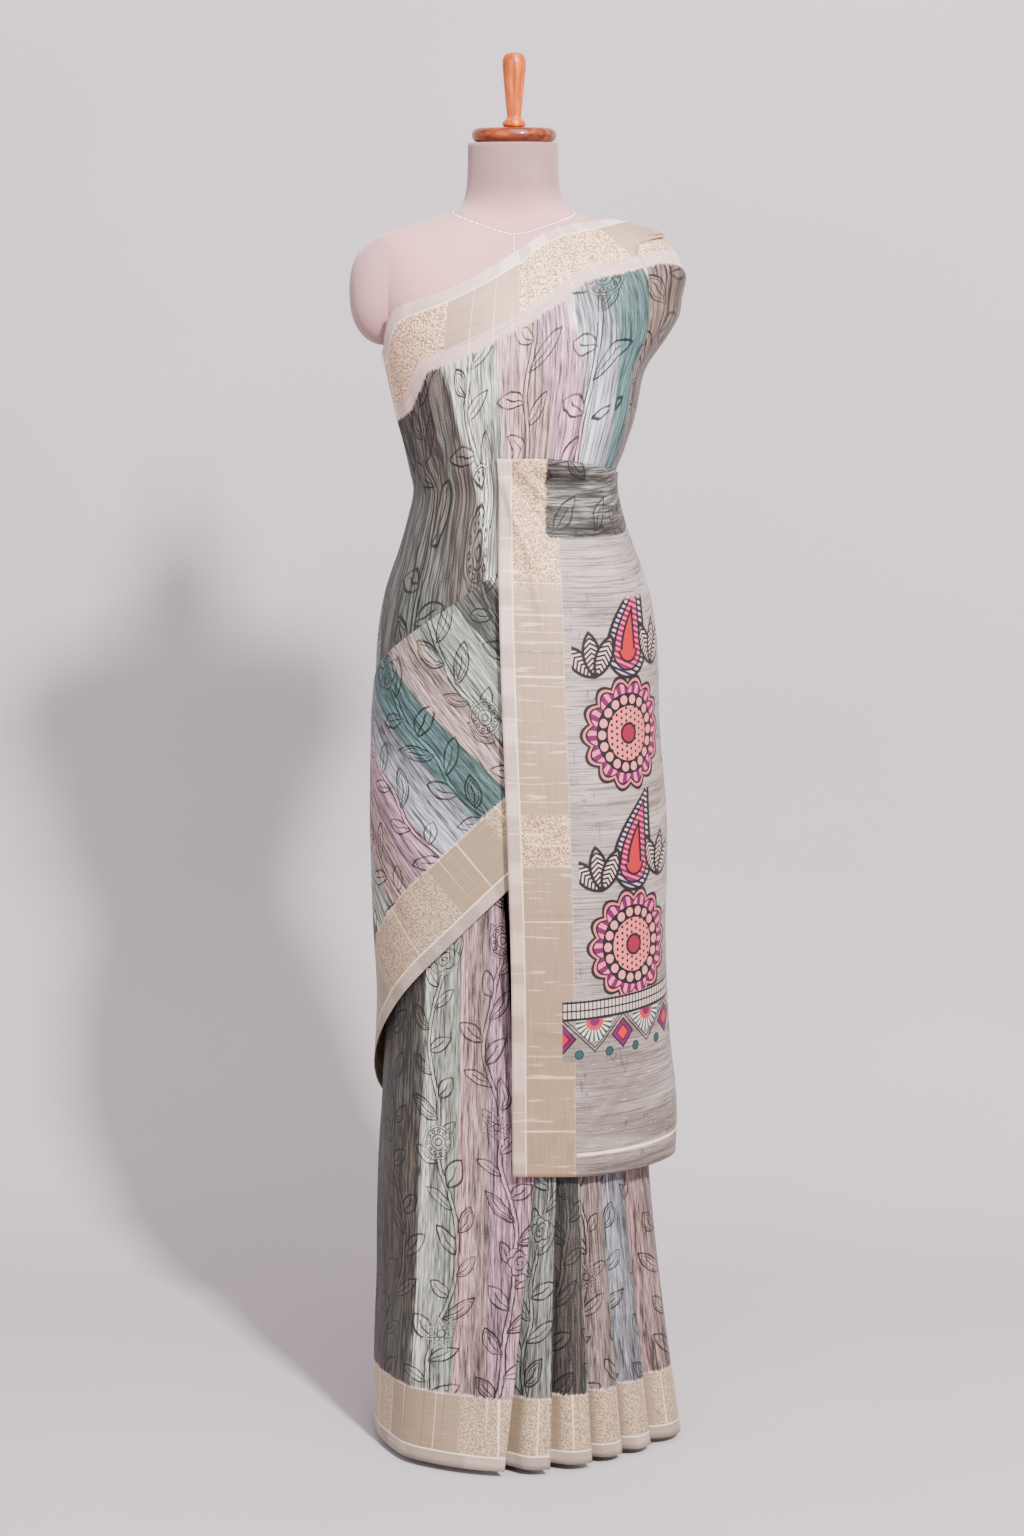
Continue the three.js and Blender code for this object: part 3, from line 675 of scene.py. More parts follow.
def rose(radius, turn, kind):
    """Two rows of round petals about a curled heart: the ink, and the distance outside its rim."""
    scallop = (turn * (ROSE_PETALS / 2) + kind * 5).math("SINE").absolute()
    inner_scallop = (turn * (ROSE_PETALS / 2) + kind * 5 + math.pi / 2).math("SINE").absolute()
    curl = radius + (turn * 2 + radius * 0.5).math("SINE") * 0.9
    rim = radius - scallop * 5 - FLOWER_RADIUS + 5
    petals = pen(rim, 1.6).most(pen(radius - inner_scallop * 4.5 - 10.5, 1.5))
    return petals.most(pen(curl - 2.6, 1.3)).most(pen(curl - 7.2, 1.3)), rim


def lily(radius, turn, kind):
    """Pointed petals, each drawn twice, about a small heart."""
    spike = (turn * (LILY_PETALS / 2) + kind * 3).math("SINE").absolute()
    rim = radius + spike * 10 - FLOWER_RADIUS - 2
    return pen(rim, 1.6).most(pen(radius + spike * 7 - 14, 1.4)).most(pen(radius - 4.5, 1.3)), rim


def medallion(radius, turn):
    """Rings about each other with a row of beads between the outer two."""
    bead_turn = (turn + math.pi).wrap(math.tau / MEDALLION_BEADS) - math.pi / MEDALLION_BEADS
    bead = length_of(radius - 13, bead_turn * 13)
    rim = radius - FLOWER_RADIUS + 1
    rings = pen(rim, 1.4).most(pen(radius - 16.6, 1.1)).most(pen(bead - 1.8, 1.1))
    return rings.most(pen(radius - 8.6, 1.2)).most(pen(radius - 3.8, 1.2)), rim


def flower_print(x, y, kind):
    """One of three line-drawn flowers by a random number: the ink, and the distance outside."""
    radius, turn = length_of(x, y), x.math("ARCTAN2", y)
    ink, rim = rose(radius, turn, kind)
    for above, (next_ink, next_rim) in (
        (LILIES_ABOVE, lily(radius, turn, kind)),
        (MEDALLIONS_ABOVE, medallion(radius, turn)),
    ):
        chosen = kind.above(above)
        ink = ink + (next_ink - ink) * chosen
        rim = rim + (next_rim - rim) * chosen
    return ink, rim


LEAF_GAP, LEAF_LENGTH, LEAF_WIDTH = 50, 37, 16
LEAF_LEAN, LEAF_LEAN_MORE = 0.55, 0.55
LEAF_LEAST, LEAF_GROWTH = 0.8, 0.35
LEAF_BEND = 0.0112


def leaf_print(tree, vine, aside, up):
    """Leaves that lean out from the two sides of a stem by turns: their ink and their insides."""
    left = aside.math("LESS_THAN", 0.0)
    climb = up + left * (LEAF_GAP / 2)
    step = (climb / LEAF_GAP).floor()
    fate = random_of(tree, vine, step, left + 0.5)
    lean = fate[0] * LEAF_LEAN_MORE + LEAF_LEAN
    x, y = turned_by(aside.absolute() - 1.5, climb - step * LEAF_GAP - 5, lean)
    x = x + (y * y) * (fate[1] - 0.45) * LEAF_BEND
    scale = fate[2] * LEAF_GROWTH + LEAF_LEAST
    x, y = x / scale, y / scale
    edge = pointed_leaf(x, y, LEAF_LENGTH, LEAF_WIDTH)
    second_line = pen(edge + 2.7, 0.8) * fate[1].above(0.66)
    middle = pen(x + (y * 0.3).math("SINE") * 0.7, 1.25) * y.fade(30, 24) * y.fade(-2, 2)
    return pen(edge, 1.6).most(second_line).most(middle), edge.fade(0.4, -0.4)


VINE_GAP, VINE_START = 76, 300
VINE_SWAY, SWAY_ACROSS, SWAY_UP = 90, 560, 150
VINE_WAVE, WAVE_UP = 9, 61
STEM_HALF = 2.7
FLOWER_GAP, FLOWER_SHIFT_UP, FLOWER_SHIFT_ASIDE = 190, 60, 14
FLOWERLESS = 0.15


def vine_print(tree, x, y):
    """Line drawing of climbing vines, in millimetres of cloth: the ink and the paler insides."""
    place = vector(tree, x, y)
    sway = grain(tree, vector(tree, x / SWAY_ACROSS, y / SWAY_UP), 1.0, 1.0)
    jitter = grain(tree, place, 1 / 12, 1.0)
    wave = (y / WAVE_UP).math("SINE") * VINE_WAVE
    across = x + wave + (sway - 0.5) * VINE_SWAY + (jitter - 0.5) * 2.6
    vine = (across / VINE_GAP).floor()
    aside = across - vine * VINE_GAP - VINE_GAP / 2
    up = y + (jitter - 0.5) * 3.4 + random_of(tree, vine, 3.7)[0] * VINE_START
    line, inside_leaf = leaf_print(tree, vine, aside, up)
    stem = aside.absolute()
    line = line.most(pen(stem - STEM_HALF, STEM_HALF / 2) * (1 - inside_leaf))
    paler = (inside_leaf * 0.35).most(stem.fade(2.4, 1.6) * 0.8)
    row = ((up + FLOWER_SHIFT_UP) / FLOWER_GAP).floor()
    chance = random_of(tree, vine + 9.1, row)
    flower_x = aside - (chance[0] - 0.5) * FLOWER_SHIFT_ASIDE
    flower_y = up - row * FLOWER_GAP - chance[1] * FLOWER_SHIFT_UP
    flower, rim = flower_print(flower_x, flower_y, chance[2])
    bloom = rim.fade(0.7, -0.7) * chance[0].above(FLOWERLESS)
    line = line * (1 - bloom) + flower * bloom
    paler = paler * (1 - bloom) + bloom * 0.3
    pressure = grain(tree, place, 1 / 16, 2.0, 0.6).fade(0.25, 0.6)
    return line * (pressure * 0.4 + 0.6), paler


STRIPES = (  # the two tones across each stripe
    ((92, 85, 77), (118, 103, 94)),
    ((204, 204, 200), (180, 182, 176)),
    ((203, 184, 184), (183, 166, 163)),
    ((194, 171, 181), (199, 178, 187)),
    ((198, 198, 202), (168, 167, 172)),
    ((114, 148, 149), (96, 128, 128)),
    ((198, 187, 184), (180, 164, 158)),
    ((186, 187, 183), (177, 178, 173)),
)


STRIPE_BLUR = 0.018


def stripe_tones(tree, number):
    """The colour at a stripe's number, with whole numbers where one stripe meets the next."""
    ramp = tree.nodes.new("ShaderNodeValToRGB")
    points = ramp.color_ramp.elements
    places = []
    for i, (near, far) in enumerate(STRIPES):
        places.append(((i + STRIPE_BLUR) / len(STRIPES), near))
        places.append(((i + 1 - STRIPE_BLUR) / len(STRIPES), far))
    points[0].position, points[0].color = places[0][0], seen(places[0][1])
    points[1].position, points[1].color = places[-1][0], seen(places[-1][1])
    for position, tone in places[1:-1]:
        points.new(position).color = seen(tone)
    join(tree, number.wrap(len(STRIPES)) / len(STRIPES), ramp.inputs["Fac"])
    return Wire(tree, ramp.outputs["Color"])


STREAK_INK = (54, 48, 45)


def slubbed(tree, tone, x, y, strength, extra):
    """The colour with the darker and paler streaks of the uneven yarns that run along y."""
    long = grain(tree, vector(tree, x * 0.34, y * 0.014), 1.0, 2.0, 0.65)
    broad = grain(tree, vector(tree, x * 0.075, y * 0.007, 5.0), 1.0, 2.0, 0.55)
    short = grain(tree, vector(tree, x * 0.70, y * 0.05, 9.0), 1.0, 1.0, 0.6)
    swing = ((0.5 - long) * 9.5 + (0.5 - broad) * 5.0 + (short - 0.5) * 6.5) * strength + extra
    tone = mixed(tree, swing.fade(-0.2, -1.7) * 0.80, tone, STREAK_INK)
    return mixed(tree, 1.0, tone, swing.fade(0.0, 1.8) * 1.3 + 1.0, "MULTIPLY")


def border_tone(tree, upper, amount, lower_pair, upper_pair):
    """Two tones mixed by an amount, one pair on the lower border and another on the upper."""
    return mixed(tree, upper, mixed(tree, amount, *lower_pair), mixed(tree, amount, *upper_pair))


SELVEDGE, LOWER_GOLD, UPPER_GOLD, PALE_BAND = 15.0, 79.0, 64.0, 14.0


def gold_border(tree, run, deep, upper, glint_zone):
    """Zari border from the selvedge inwards: its colour with painted glints in the glint zones, how
    metallic and how printed it is, and where the painted glints are.
    """
    speck = grain(tree, object_place(tree), 500.0, 1.0, 0.6).fade(0.40, 0.60)
    fine = grain(tree, vector(tree, run * 0.02, deep * 0.7), 1.0, 2.0, 0.6).fade(0.3, 0.7)
    plain = border_tone(
        tree, upper, fine, ((196, 181, 163), (188, 172, 154)), ((209, 196, 183), (201, 187, 173))
    )
    # Painted glints: bright and dull specks in the glint zones stand in for the metal threads catching the
    # light.
    painted_glint = border_tone(
        tree, upper, speck, ((187, 171, 151), (212, 201, 186)), ((193, 173, 152), (228, 217, 206))
    )
    cross = grain(tree, vector(tree, run / 6, deep * 0.002), 1.0, 1.0).fade(0.63, 0.69)
    dark_cross = grain(tree, vector(tree, run / 8, deep * 0.002, 7.0), 1.0, 1.0).fade(0.66, 0.71)
    gold = mixed(tree, glint_zone, plain, painted_glint)
    gold = mixed(tree, cross * 0.45, gold, (232, 224, 214))
    gold = mixed(tree, dark_cross * 0.35, gold, (150, 134, 120))
    length = grain(tree, vector(tree, run / 30, 0.0, 1.3), 1.0, 0.0).fade(0.42, 0.58)
    white = border_tone(
        tree, upper, length, ((192, 181, 170), (203, 194, 185)), ((217, 206, 203), (225, 217, 214))
    )
    white = mixed(tree, fine * 0.25, white, (184, 174, 172))
    woven = deep.fade(SELVEDGE - 0.6, SELVEDGE + 0.4)
    tone = mixed(tree, woven, white, gold)
    tone = mixed(tree, pen(deep - SELVEDGE, 1.2) * 0.5, tone, (236, 229, 223))
    inner = LOWER_GOLD + (UPPER_GOLD - LOWER_GOLD) * upper
    wobble = grain(tree, vector(tree, run * 0.05, deep * 0.05), 1.0, 2.0) - 0.5
    beyond = (deep + wobble * 2 - inner).fade(-0.9, 0.7)
    tone = mixed(tree, beyond, tone, mixed(tree, fine, (219, 208, 206), (208, 196, 194)))
    tone = mixed(tree, cross * beyond * 0.5, tone, (232, 224, 220))
    feather = grain(tree, vector(tree, run * 0.5, deep * 0.08), 1.0, 2.0, 0.7)
    printed = (deep + (feather - 0.5) * 9 - inner - upper * PALE_BAND).fade(-0.5, 3.0)
    return tone, woven * (1 - beyond), printed, glint_zone * speck


def cloth_finish(tree, shader, tone, x, y, metal, painted_glint, rough=0.62):
    """Connects a cloth's colour, its slub relief and the sheen of its metal threads."""
    tree.links.new(tone.socket, shader.inputs["Base Color"])
    threads = grain(tree, vector(tree, x * 1.6, y * 0.12), 1.0, 2.0, 0.7)
    picks = grain(tree, vector(tree, x * 0.10, y * 1.7), 1.0, 2.0, 0.7)
    raised(tree, shader, threads * 0.8 + picks * 0.6 + painted_glint * 0.8, 0.0005, 0.55)
    join(tree, metal * 0.22, shader.inputs["Metallic"])
    join(tree, rough - metal * 0.16, shader.inputs["Roughness"])
    shader.inputs["Specular IOR Level"].default_value = 0.28
    shader.inputs["Sheen Weight"].default_value = 0.05
    shader.inputs["Sheen Roughness"].default_value = 0.4


def flat_place(tree):
    node = tree.nodes.new("ShaderNodeUVMap")
    node.uv_map = "cloth"
    x, y, _ = split(tree, Wire(tree, node.outputs["UV"]))
    return x, y


# Painted glints: zones along the gold border, this far apart, where it is speckled with painted glints.
GLINT_PITCH, GLINT_PLAIN, GLINT_START, GLINT_BLUR = 240.0, 93.0, 302.0, 4.0
PRINT_INK = (58, 46, 49)


def printed_silk(name, painted_shade):
    """Striped slub silk with the vine print between its two gold borders; the printed cloth is darkened by
    a painted shade colour.
    """
    material, tree, shader = surface(name)
    u, v = flat_place(tree)
    x, y = u * 1000, v * 1000
    edge_wander = (grain(tree, vector(tree, x * 0.2, y * 0.05), 1.0, 2.0) - 0.5) * 0.05
    stripe = attribute(tree, "stripe") + edge_wander
    tone = stripe_tones(tree, stripe)
    is_dark = (stripe.wrap(len(STRIPES)) - 0.5).absolute().fade(0.56, 0.46)
    patch = grain(tree, vector(tree, x * 0.02, y * 0.006, 4.0), 1.0, 2.0, 0.6).fade(0.46, 0.60)
    tone = mixed(tree, is_dark * patch * 0.85, tone, (104, 108, 100))
    ink, paler = vine_print(tree, x, y)
    tone = slubbed(tree, tone, x, y, is_dark * 0.9 + 1.0, paler * (is_dark * 0.8 + 1.0))
    tone = mixed(tree, ink * 0.98, tone, PRINT_INK, "MULTIPLY")
    # Painted shade: the printed cloth is multiplied by this colour, darker on the copies of the silk that
    # stand in less light.
    tone = mixed(tree, 1.0, tone, painted_shade, "MULTIPLY")
    upper = y.above(CLOTH_WIDTH * 500)
    deep = y.least(CLOTH_WIDTH * 1000 - y)
    along_border = (x + GLINT_START).wrap(GLINT_PITCH)
    glint_zone = along_border.fade(GLINT_PLAIN - GLINT_BLUR, GLINT_PLAIN + GLINT_BLUR)
    gold, metal, printed, painted_glint = gold_border(tree, x, deep, upper, glint_zone)
    tone = mixed(tree, printed, gold, tone)
    cloth_finish(tree, shader, tone, x, y, metal, painted_glint)
    return material


# Painted shade: the skirt's copy of the silk is darkened, for the weaker light low on the form.
silk = printed_silk("printed_silk", (206, 206, 203))

SKIRT_FOLDS = (  # angle, reach, spread, height where it is full, height where it ends
    (118, 6, 7, 8, 300),
    (140, 4, 6, 8, 240),
    (163, 5, 8, 8, 330),
    (226, 3, 8, 8, 420),
)
SKIRT_CREASES = (  # angle and height of each end, height of the ridge, half width
    (236, 20, 246, 420, 1.6, 12),
    (252, 30, 256, 360, -1.4, 10),
    (212, 15, 204, 300, -2.0, 13),
    (188, 12, 186, 380, 2.2, 12),
    (150, 40, 156, 420, -2.0, 12),
    (104, 12, 98, 360, 2.4, 11),
    (60, 20, 66, 480, 2.2, 13),
    (20, 30, 26, 380, 2.0, 12),
)
SKIRT_STRIPES = (  # angle, stripe that starts there
    (126, -3), (146, -2), (166, -1), (182, 0), (226, 1), (244.5, 2), (257.5, 3), (280, 4),
)
SKIRT_START = -14
SKIRT_LIFT = 2.5
SWING_TOP, SWING_FULL, SOFT_FULL = 520, 430, 380
EDGE_SPREAD, EDGE_UNDER = 24, 7.28
TUCK_START = 965
SKIRT_DEGREE, SKIRT_PRINT_START = 0.0027, 0.081


def folds(table, angle, z):
    """The lift of soft upright folds that die out towards one end."""
    total = 0.0
    for middle, height, spread, low, high in table:
        total += height * smooth(high, low, z) * math.exp(-(((angle - middle) / spread) ** 2))
    return total


def skirt_edge(z):
    return 360 + pleat_fold(0, z)[0] - EDGE_UNDER * smooth(SWING_FULL, SWING_TOP, z)


def skirt_place(s, t):
    z = HEM + (TUCK - HEM) * t
    edge_angle = skirt_edge(z)
    angle = SKIRT_START + (edge_angle - SKIRT_START) * s
    near_edge = smooth(edge_angle - EDGE_SPREAD, edge_angle, angle) * smooth(SWING_TOP, SWING_FULL, z)
    edge_lift = pleat_fold(0, z)[1] - reach(CLOTH_SECTIONS, angle, z)
    lift = SKIRT_LIFT + (edge_lift - SKIRT_LIFT) * near_edge + folds(SKIRT_FOLDS, angle, z)
    lift += on_form(angle, z) * smooth(TUCK_START, TUCK, z)
    soft = smooth(SWING_TOP, SOFT_FULL, z)
    lift += (creased(SKIRT_CREASES, angle, z) + uneven(angle, z, 1.2, 3.0)) * soft
    return draped(CLOTH_SECTIONS, angle, z, lift), angle, z


def skirt_pattern(angle, z, run, point, s):
    across = angle * SKIRT_DEGREE + SKIRT_PRINT_START
    return across, (z - HEM) / 1000, between(SKIRT_STRIPES, angle)


skirt = cloth("cloth_skirt_wrap", 150, 150, skirt_place, skirt_pattern, silk)

# Front pleats: the same length of cloth folded into five knife pleats that open to the right,
# pressed flat where the decorated end lies on them and fanned out at the hem.
PLEAT_STRIPES = (7.0, 8.0, 14.0, 12.0, 18.0)
PLEAT_SHAPE = (  # share of the face, share of its rise
    (0.0, 0.0), (0.38, 0.4), (0.6, 0.84), (0.8, 1.0), (1.0, 0.985),
)
PLEAT_TURN, PLEAT_UNDERLAP, HEM_UNDERLAP = 3.4, 5.2, 1.2
FOLD_GAP, FOLD_LAP = 0.6, 0.3
FACE_STEPS, BACK_STEPS = 22, 8
PLEAT_STEPS = FACE_STEPS + BACK_STEPS
PLEAT_COUNT = len(PLEAT_STRIPES)
PLEAT_CLOTH, FACE_CLOTH, PLEAT_PRINT_START = 0.24, 0.072, 0.031
STRIPE_BEFORE, FACE_STRIPES, BACK_STRIPES = 0.28, 1.31, 0.6


def pleat_point(index, share, z):
    """A point of one pleat's line seen from above: up its face to the fold, then back under it."""
    before_angle, before_reach, _, before_sink = pleat_fold(index, z)
    angle, out, down, sink = pleat_fold(index + 1, z)
    underlap = PLEAT_UNDERLAP + HEM_UNDERLAP * down
    start_angle, start_reach = before_angle - underlap, before_reach - before_sink
    if share <= 1:
        rise = along(PLEAT_SHAPE, share)
        ridge = 1.1 * math.sin(share * math.pi * 1.6 + index * 1.9 + z / 90) * smooth(0, 0.3, share) * down
        at = start_angle + (angle - start_angle) * share
        return at, start_reach + (out - start_reach) * rise + ridge * smooth(1, 0.85, share)
    back = share - 1
    tip = math.sin(min(back * 5, 1.0) * math.pi / 2)
    past_tip = max(back - 0.1, 0) / 0.9
    under_reach = out - FOLD_GAP - PLEAT_TURN
    end_reach = out - sink + PLEAT_TURN
    at = angle - FOLD_LAP * tip - (underlap - FOLD_LAP) * past_tip
    return at, out - FOLD_GAP - PLEAT_TURN * tip - (under_reach - end_reach) * past_tip


def pleat_step(s):
    """The pleat that a share of the sheet's width falls in, and the step across that pleat."""
    steps = round(s * PLEAT_COUNT * PLEAT_STEPS)
    index = min(steps // PLEAT_STEPS, PLEAT_COUNT - 1)
    return index, steps - index * PLEAT_STEPS


def pleat_place(s, t):
    z = HEM + (TUCK - HEM) * t
    index, step = pleat_step(s)
    share = step / FACE_STEPS if step <= FACE_STEPS else 1 + (step - FACE_STEPS) / BACK_STEPS
    angle, out = pleat_point(index, share, z)
    turn = math.radians(angle)
    return Vector((out * math.cos(turn), out * math.sin(turn), z)) / 1000, angle, z


def pleat_pattern(angle, z, run, point, s):
    index, step = pleat_step(s)
    face = min(step / FACE_STEPS, 1.0)
    past = max(step - FACE_STEPS, 0) / BACK_STEPS
    stripe = PLEAT_STRIPES[index] - STRIPE_BEFORE + FACE_STRIPES * face + BACK_STRIPES * past
    across = PLEAT_PRINT_START + PLEAT_CLOTH * index + FACE_CLOTH * (face - 0.5)
    return across, (z - HEM) / 1000, stripe


# Painted shade: the pleats' copy of the silk is darkened more, for the shade on them.
pleat_silk = printed_silk("printed_silk_pleats", (186, 184, 182))
pleats = cloth(
    "cloth_front_pleats", PLEAT_COUNT * PLEAT_STEPS, 150, pleat_place, pleat_pattern, pleat_silk,
    inward=False,
)

# Bodice: the saree passes from the back of the left hip across the front to the right shoulder,
# smooth and close over the form, with its upper gold border along the bare chest.
BODICE_TOP = (  # angle, height
    (-285, 1115), (-262, 1145), (-235, 1195), (-205, 1232), (-180, 1243), (-168, 1249),
    (-163, 1262), (-156, 1288), (-148, 1298), (-130, 1315), (-110, 1337), (-92, 1353),
    (-75, 1366), (-60, 1374), (-40, 1382), (-15, 1388), (25, 1389),
)
BODICE_LOW = (  # angle, height
    (-285, 850), (-250, 825), (-200, 800), (-180, 810), (-164, 845), (-130, 900),
    (-100, 950), (-92, 1015), (-84, 1058), (25, 1058),
)
BODICE_RIGHT = (  # height, angle
    (1058, -12), (1105, -15), (1145, -19), (1235, -24), (1290, -26), (1340, -23),
    (1364, -17), (1374, 8), (1382, 24), (1396, 26),
)
SHOULDER_BACK = (  # height, angle
    (1075, 92), (1200, 82), (1280, 74), (1330, 62), (1364, 48), (1382, 34), (1396, 30),
)
BODICE_STRIPES = (  # stripe, and the angle of its left edge at 880, 1000, 1150, 1240 and 1300 mm
    (-1, -184, -206, -212, -212, -212),
    (0, -162, -184, -190, -190, -190),
    (1, -98, -106, -119.7, -125.9, -132),
    (2, -80, -86, -95.4, -99.2, -97),
    (3, -60, -63, -67.3, -76.8, -78.5),
    (4, -44, -46, -49.1, -55.6, -60),
    (5, -26, -27, -30.6, -36.5, -42),
    (6, -8, -8, -11.9, -20.0, -23.1),
    (7, 11, 11, 8, 0, -4),
)
BODICE_STRIPE_HEIGHTS = (880, 1000, 1150, 1240, 1300)
STRIPES_LOW, STRIPES_HIGH = 860, 1330
BODICE_CREASES = (  # angle and height of each end, height of the ridge, half width
    (-166, 1228, -164, 1112, 3.4, 8),
    (-146, 1205, -166, 1098, -2.6, 7),
    (-136, 1160, -158, 1078, 3.0, 7),
    (-128, 1170, -146, 1092, -2.2, 6),
    (-120, 1180, -134, 1096, 2.2, 7),
    (-160, 1086, -142, 985, 3.2, 7),
    (-146, 1078, -128, 975, -2.2, 6),
    (-132, 1082, -118, 990, 2.2, 6),
    (-119, 1090, -109, 1000, -1.6, 5),
    (-112, 1110, -104, 1010, 1.8, 6),
    (-69, 1292, -68, 1140, -1.5, 6),
    (-62, 1285, -60, 1145, 1.3, 6),
    (-44, 1270, -46, 1150, -1.2, 6),
    (-34, 1290, -28, 1150, 1.2, 6),
    (-96, 1180, -101, 1125, -0.8, 9),
    (-200, 1215, -190, 1095, 2.4, 9),
    (-222, 1180, -205, 1080, -2.2, 9),
    (-240, 1160, -226, 1000, 2.2, 9),
    (-258, 1120, -246, 980, -2.0, 9),
    (-190, 1070, -176, 900, 2.0, 10),
)


def edge_to_edge(sides, low, top, start, end, s, t):
    """The angle and height of a share across and up a stretch between its four edges."""
    angle = sides[0] + (sides[1] - sides[0]) * s
    for _ in range(3):
        z = low(angle) + (top(angle) - low(angle)) * t
        angle = start(z) + (end(z) - start(z)) * s
    return angle, low(angle) + (top(angle) - low(angle)) * t


PLEATS_ROOM, PLEATS_ANGLE, PLEATS_SPREAD = 7, -72, 30
OVER_PLEATS, ON_PLEATS = 1072, 1034


def over_pleats(angle, z):
    """Room for the pleats below the cloth that crosses them."""
    across = math.exp(-(((angle - PLEATS_ANGLE) / PLEATS_SPREAD) ** 4))
    return PLEATS_ROOM * across * smooth(OVER_PLEATS, ON_PLEATS, z)


BACK_END, NECK_END = -285, 26
BODICE_LIFT, BODICE_LOW_LIFT = 4, 1.8
WAIST, WAIST_DRAWN, WAIST_SPREAD = 1089, 3.1, 24


def bodice_place(s, t):
    angle, z = edge_to_edge(
        (BACK_END, NECK_END), lambda a: along(BODICE_LOW, a), lambda a: along(BODICE_TOP, a),
        lambda z: BACK_END, lambda z: along(BODICE_RIGHT, z), s, t,
    )
    drawn_in = WAIST_DRAWN * math.exp(-(((z - WAIST) / WAIST_SPREAD) ** 2))
    lift = BODICE_LIFT + BODICE_LOW_LIFT * smooth(OVER_PLEATS, 1000, z) - drawn_in + over_pleats(angle, z)
    hidden = along(HIP_TOP, angle)
    clear = smooth(hidden - 6, hidden + 26, z) * smooth(-92, -108, angle) + smooth(1135, 1150, z)
    lift += min(clear, 1.0) * (creased(BODICE_CREASES, angle, z) + uneven(angle, z, 0.7, 0.0))
    return draped(CLOTH_SECTIONS, angle, z, lift), angle, z


def stripe_at(table, place, value):
    """The stripe number at a value, from rows of stripe edges given at several places."""
    edges = [between(list(zip(BODICE_STRIPE_HEIGHTS, row[1:])), place) for row in table]
    return between([(edge, row[0]) for edge, row in zip(edges, table)], value)


EDGE_LIFT, EDGE_STEPS = 5, 12
UPPER_EDGE = [
    draped(CLOTH_SECTIONS, a, along(BODICE_TOP, a), EDGE_LIFT) for a in range(BACK_END, NECK_END, 3)
]
UPPER_EDGE += [
    draped(CLOTH_SECTIONS, along(SHOULDER_BACK, z), z, EDGE_LIFT) for z in range(1386, 1070, -8)
]
EDGE_TREE = kdtree.KDTree(EDGE_STEPS * (len(UPPER_EDGE) - 1))
for i in range(EDGE_STEPS * (len(UPPER_EDGE) - 1)):
    before, share = i // EDGE_STEPS, i % EDGE_STEPS / EDGE_STEPS
    EDGE_TREE.insert(UPPER_EDGE[before].lerp(UPPER_EDGE[before + 1], share), i)
EDGE_TREE.balance()


BODICE_DEGREE = 0.0024


def bodice_pattern(angle, z, run, point, s):
    deep = EDGE_TREE.find(point)[2]
    stripe = stripe_at(BODICE_STRIPES, min(max(z, STRIPES_LOW), STRIPES_HIGH), angle)
    return angle * BODICE_DEGREE, CLOTH_WIDTH - deep, stripe


HIP_TOP = (  # angle, height
    (-285, 905), (-250, 885), (-200, 858), (-180, 868), (-164, 903), (-130, 962),
    (-96, 1012), (-70, 1024),
)
upper_silk = printed_silk("printed_silk_upper", (255, 255, 255))
bodice = cloth("cloth_bodice_swath", 170, 120, bodice_place, bodice_pattern, upper_silk)

# Shoulder: the same cloth turned over the right shoulder and down the back, caught in at the
# waist under the decorated end. Its neck edge carries the gold border on down the back.
STRIPE, STRIPE_TURN = 0.055, 20.4
BACK_STRIPE, FRONT_STRIPE = 9.0, 6.0
SHOULDER_LIFT, OVER_BODICE, SHOULDER_PINCH, TUCKED_LIFT = 3.4, 4.2, 2.2, 1.1
SHOULDER_CREASES = (  # angle and height of each end, height of the ridge, half width
    (-14, 1345, -10, 1180, -1.6, 8),
    (0, 1350, 6, 1150, 2.0, 9),
    (22, 1345, 30, 1130, -2.2, 9),
    (36, 1330, 44, 1140, 2.4, 9),
    (52, 1290, 58, 1130, -2.0, 8),
    (66, 1270, 70, 1120, 2.0, 8),
)


UPPER_RUN = [0.0]
for before, after in zip(UPPER_EDGE, UPPER_EDGE[1:]):
    UPPER_RUN.append(UPPER_RUN[-1] + (after - before).length)


def along_upper_edge(point):
    """Where along the upper selvedge a point is, in metres: the nearest place, blended far inside."""
    _, found, deep = EDGE_TREE.find(point)
    before, share = found // EDGE_STEPS, found % EDGE_STEPS / EDGE_STEPS
    nearest = UPPER_RUN[before] + (UPPER_RUN[before + 1] - UPPER_RUN[before]) * share
    total, weights = 0.0, 0.0
    for place, far in zip(UPPER_EDGE, UPPER_RUN):
        weight = 1 / ((point - place).length + 0.002) ** 4
        total += weight * far
        weights += weight
    return nearest + (total / weights - nearest) * smooth(0.06, 0.11, deep)


def shoulder_place(s, t):
    angle, z = edge_to_edge(
        (-26, 92), lambda a: 1096 - 20 * smooth(10, 60, a), lambda a: 1376 + 8 * smooth(12, 30, a),
        lambda z: along(BODICE_RIGHT, z + 1.6) - 3, lambda z: along(SHOULDER_BACK, z), s, t,
    )
    over_bodice = OVER_BODICE * smooth(30, 55, angle) * smooth(1350, 1250, z)
    pinched = SHOULDER_PINCH * smooth(1116, 1099, z) * smooth(60, 20, angle)
    under = along(BODICE_RIGHT, z + 1.6) + 1.4 - angle
    lift = SHOULDER_LIFT + over_bodice - pinched - TUCKED_LIFT * smooth(0, 1.4, under)
    free = smooth(1112, 1150, z) * smooth(1.0, -4.0, under)
    lift += free * (creased(SHOULDER_CREASES, angle, z) + uneven(angle, z, 0.7, 7.0))
    return draped(CLOTH_SECTIONS, angle, z, lift), angle, z


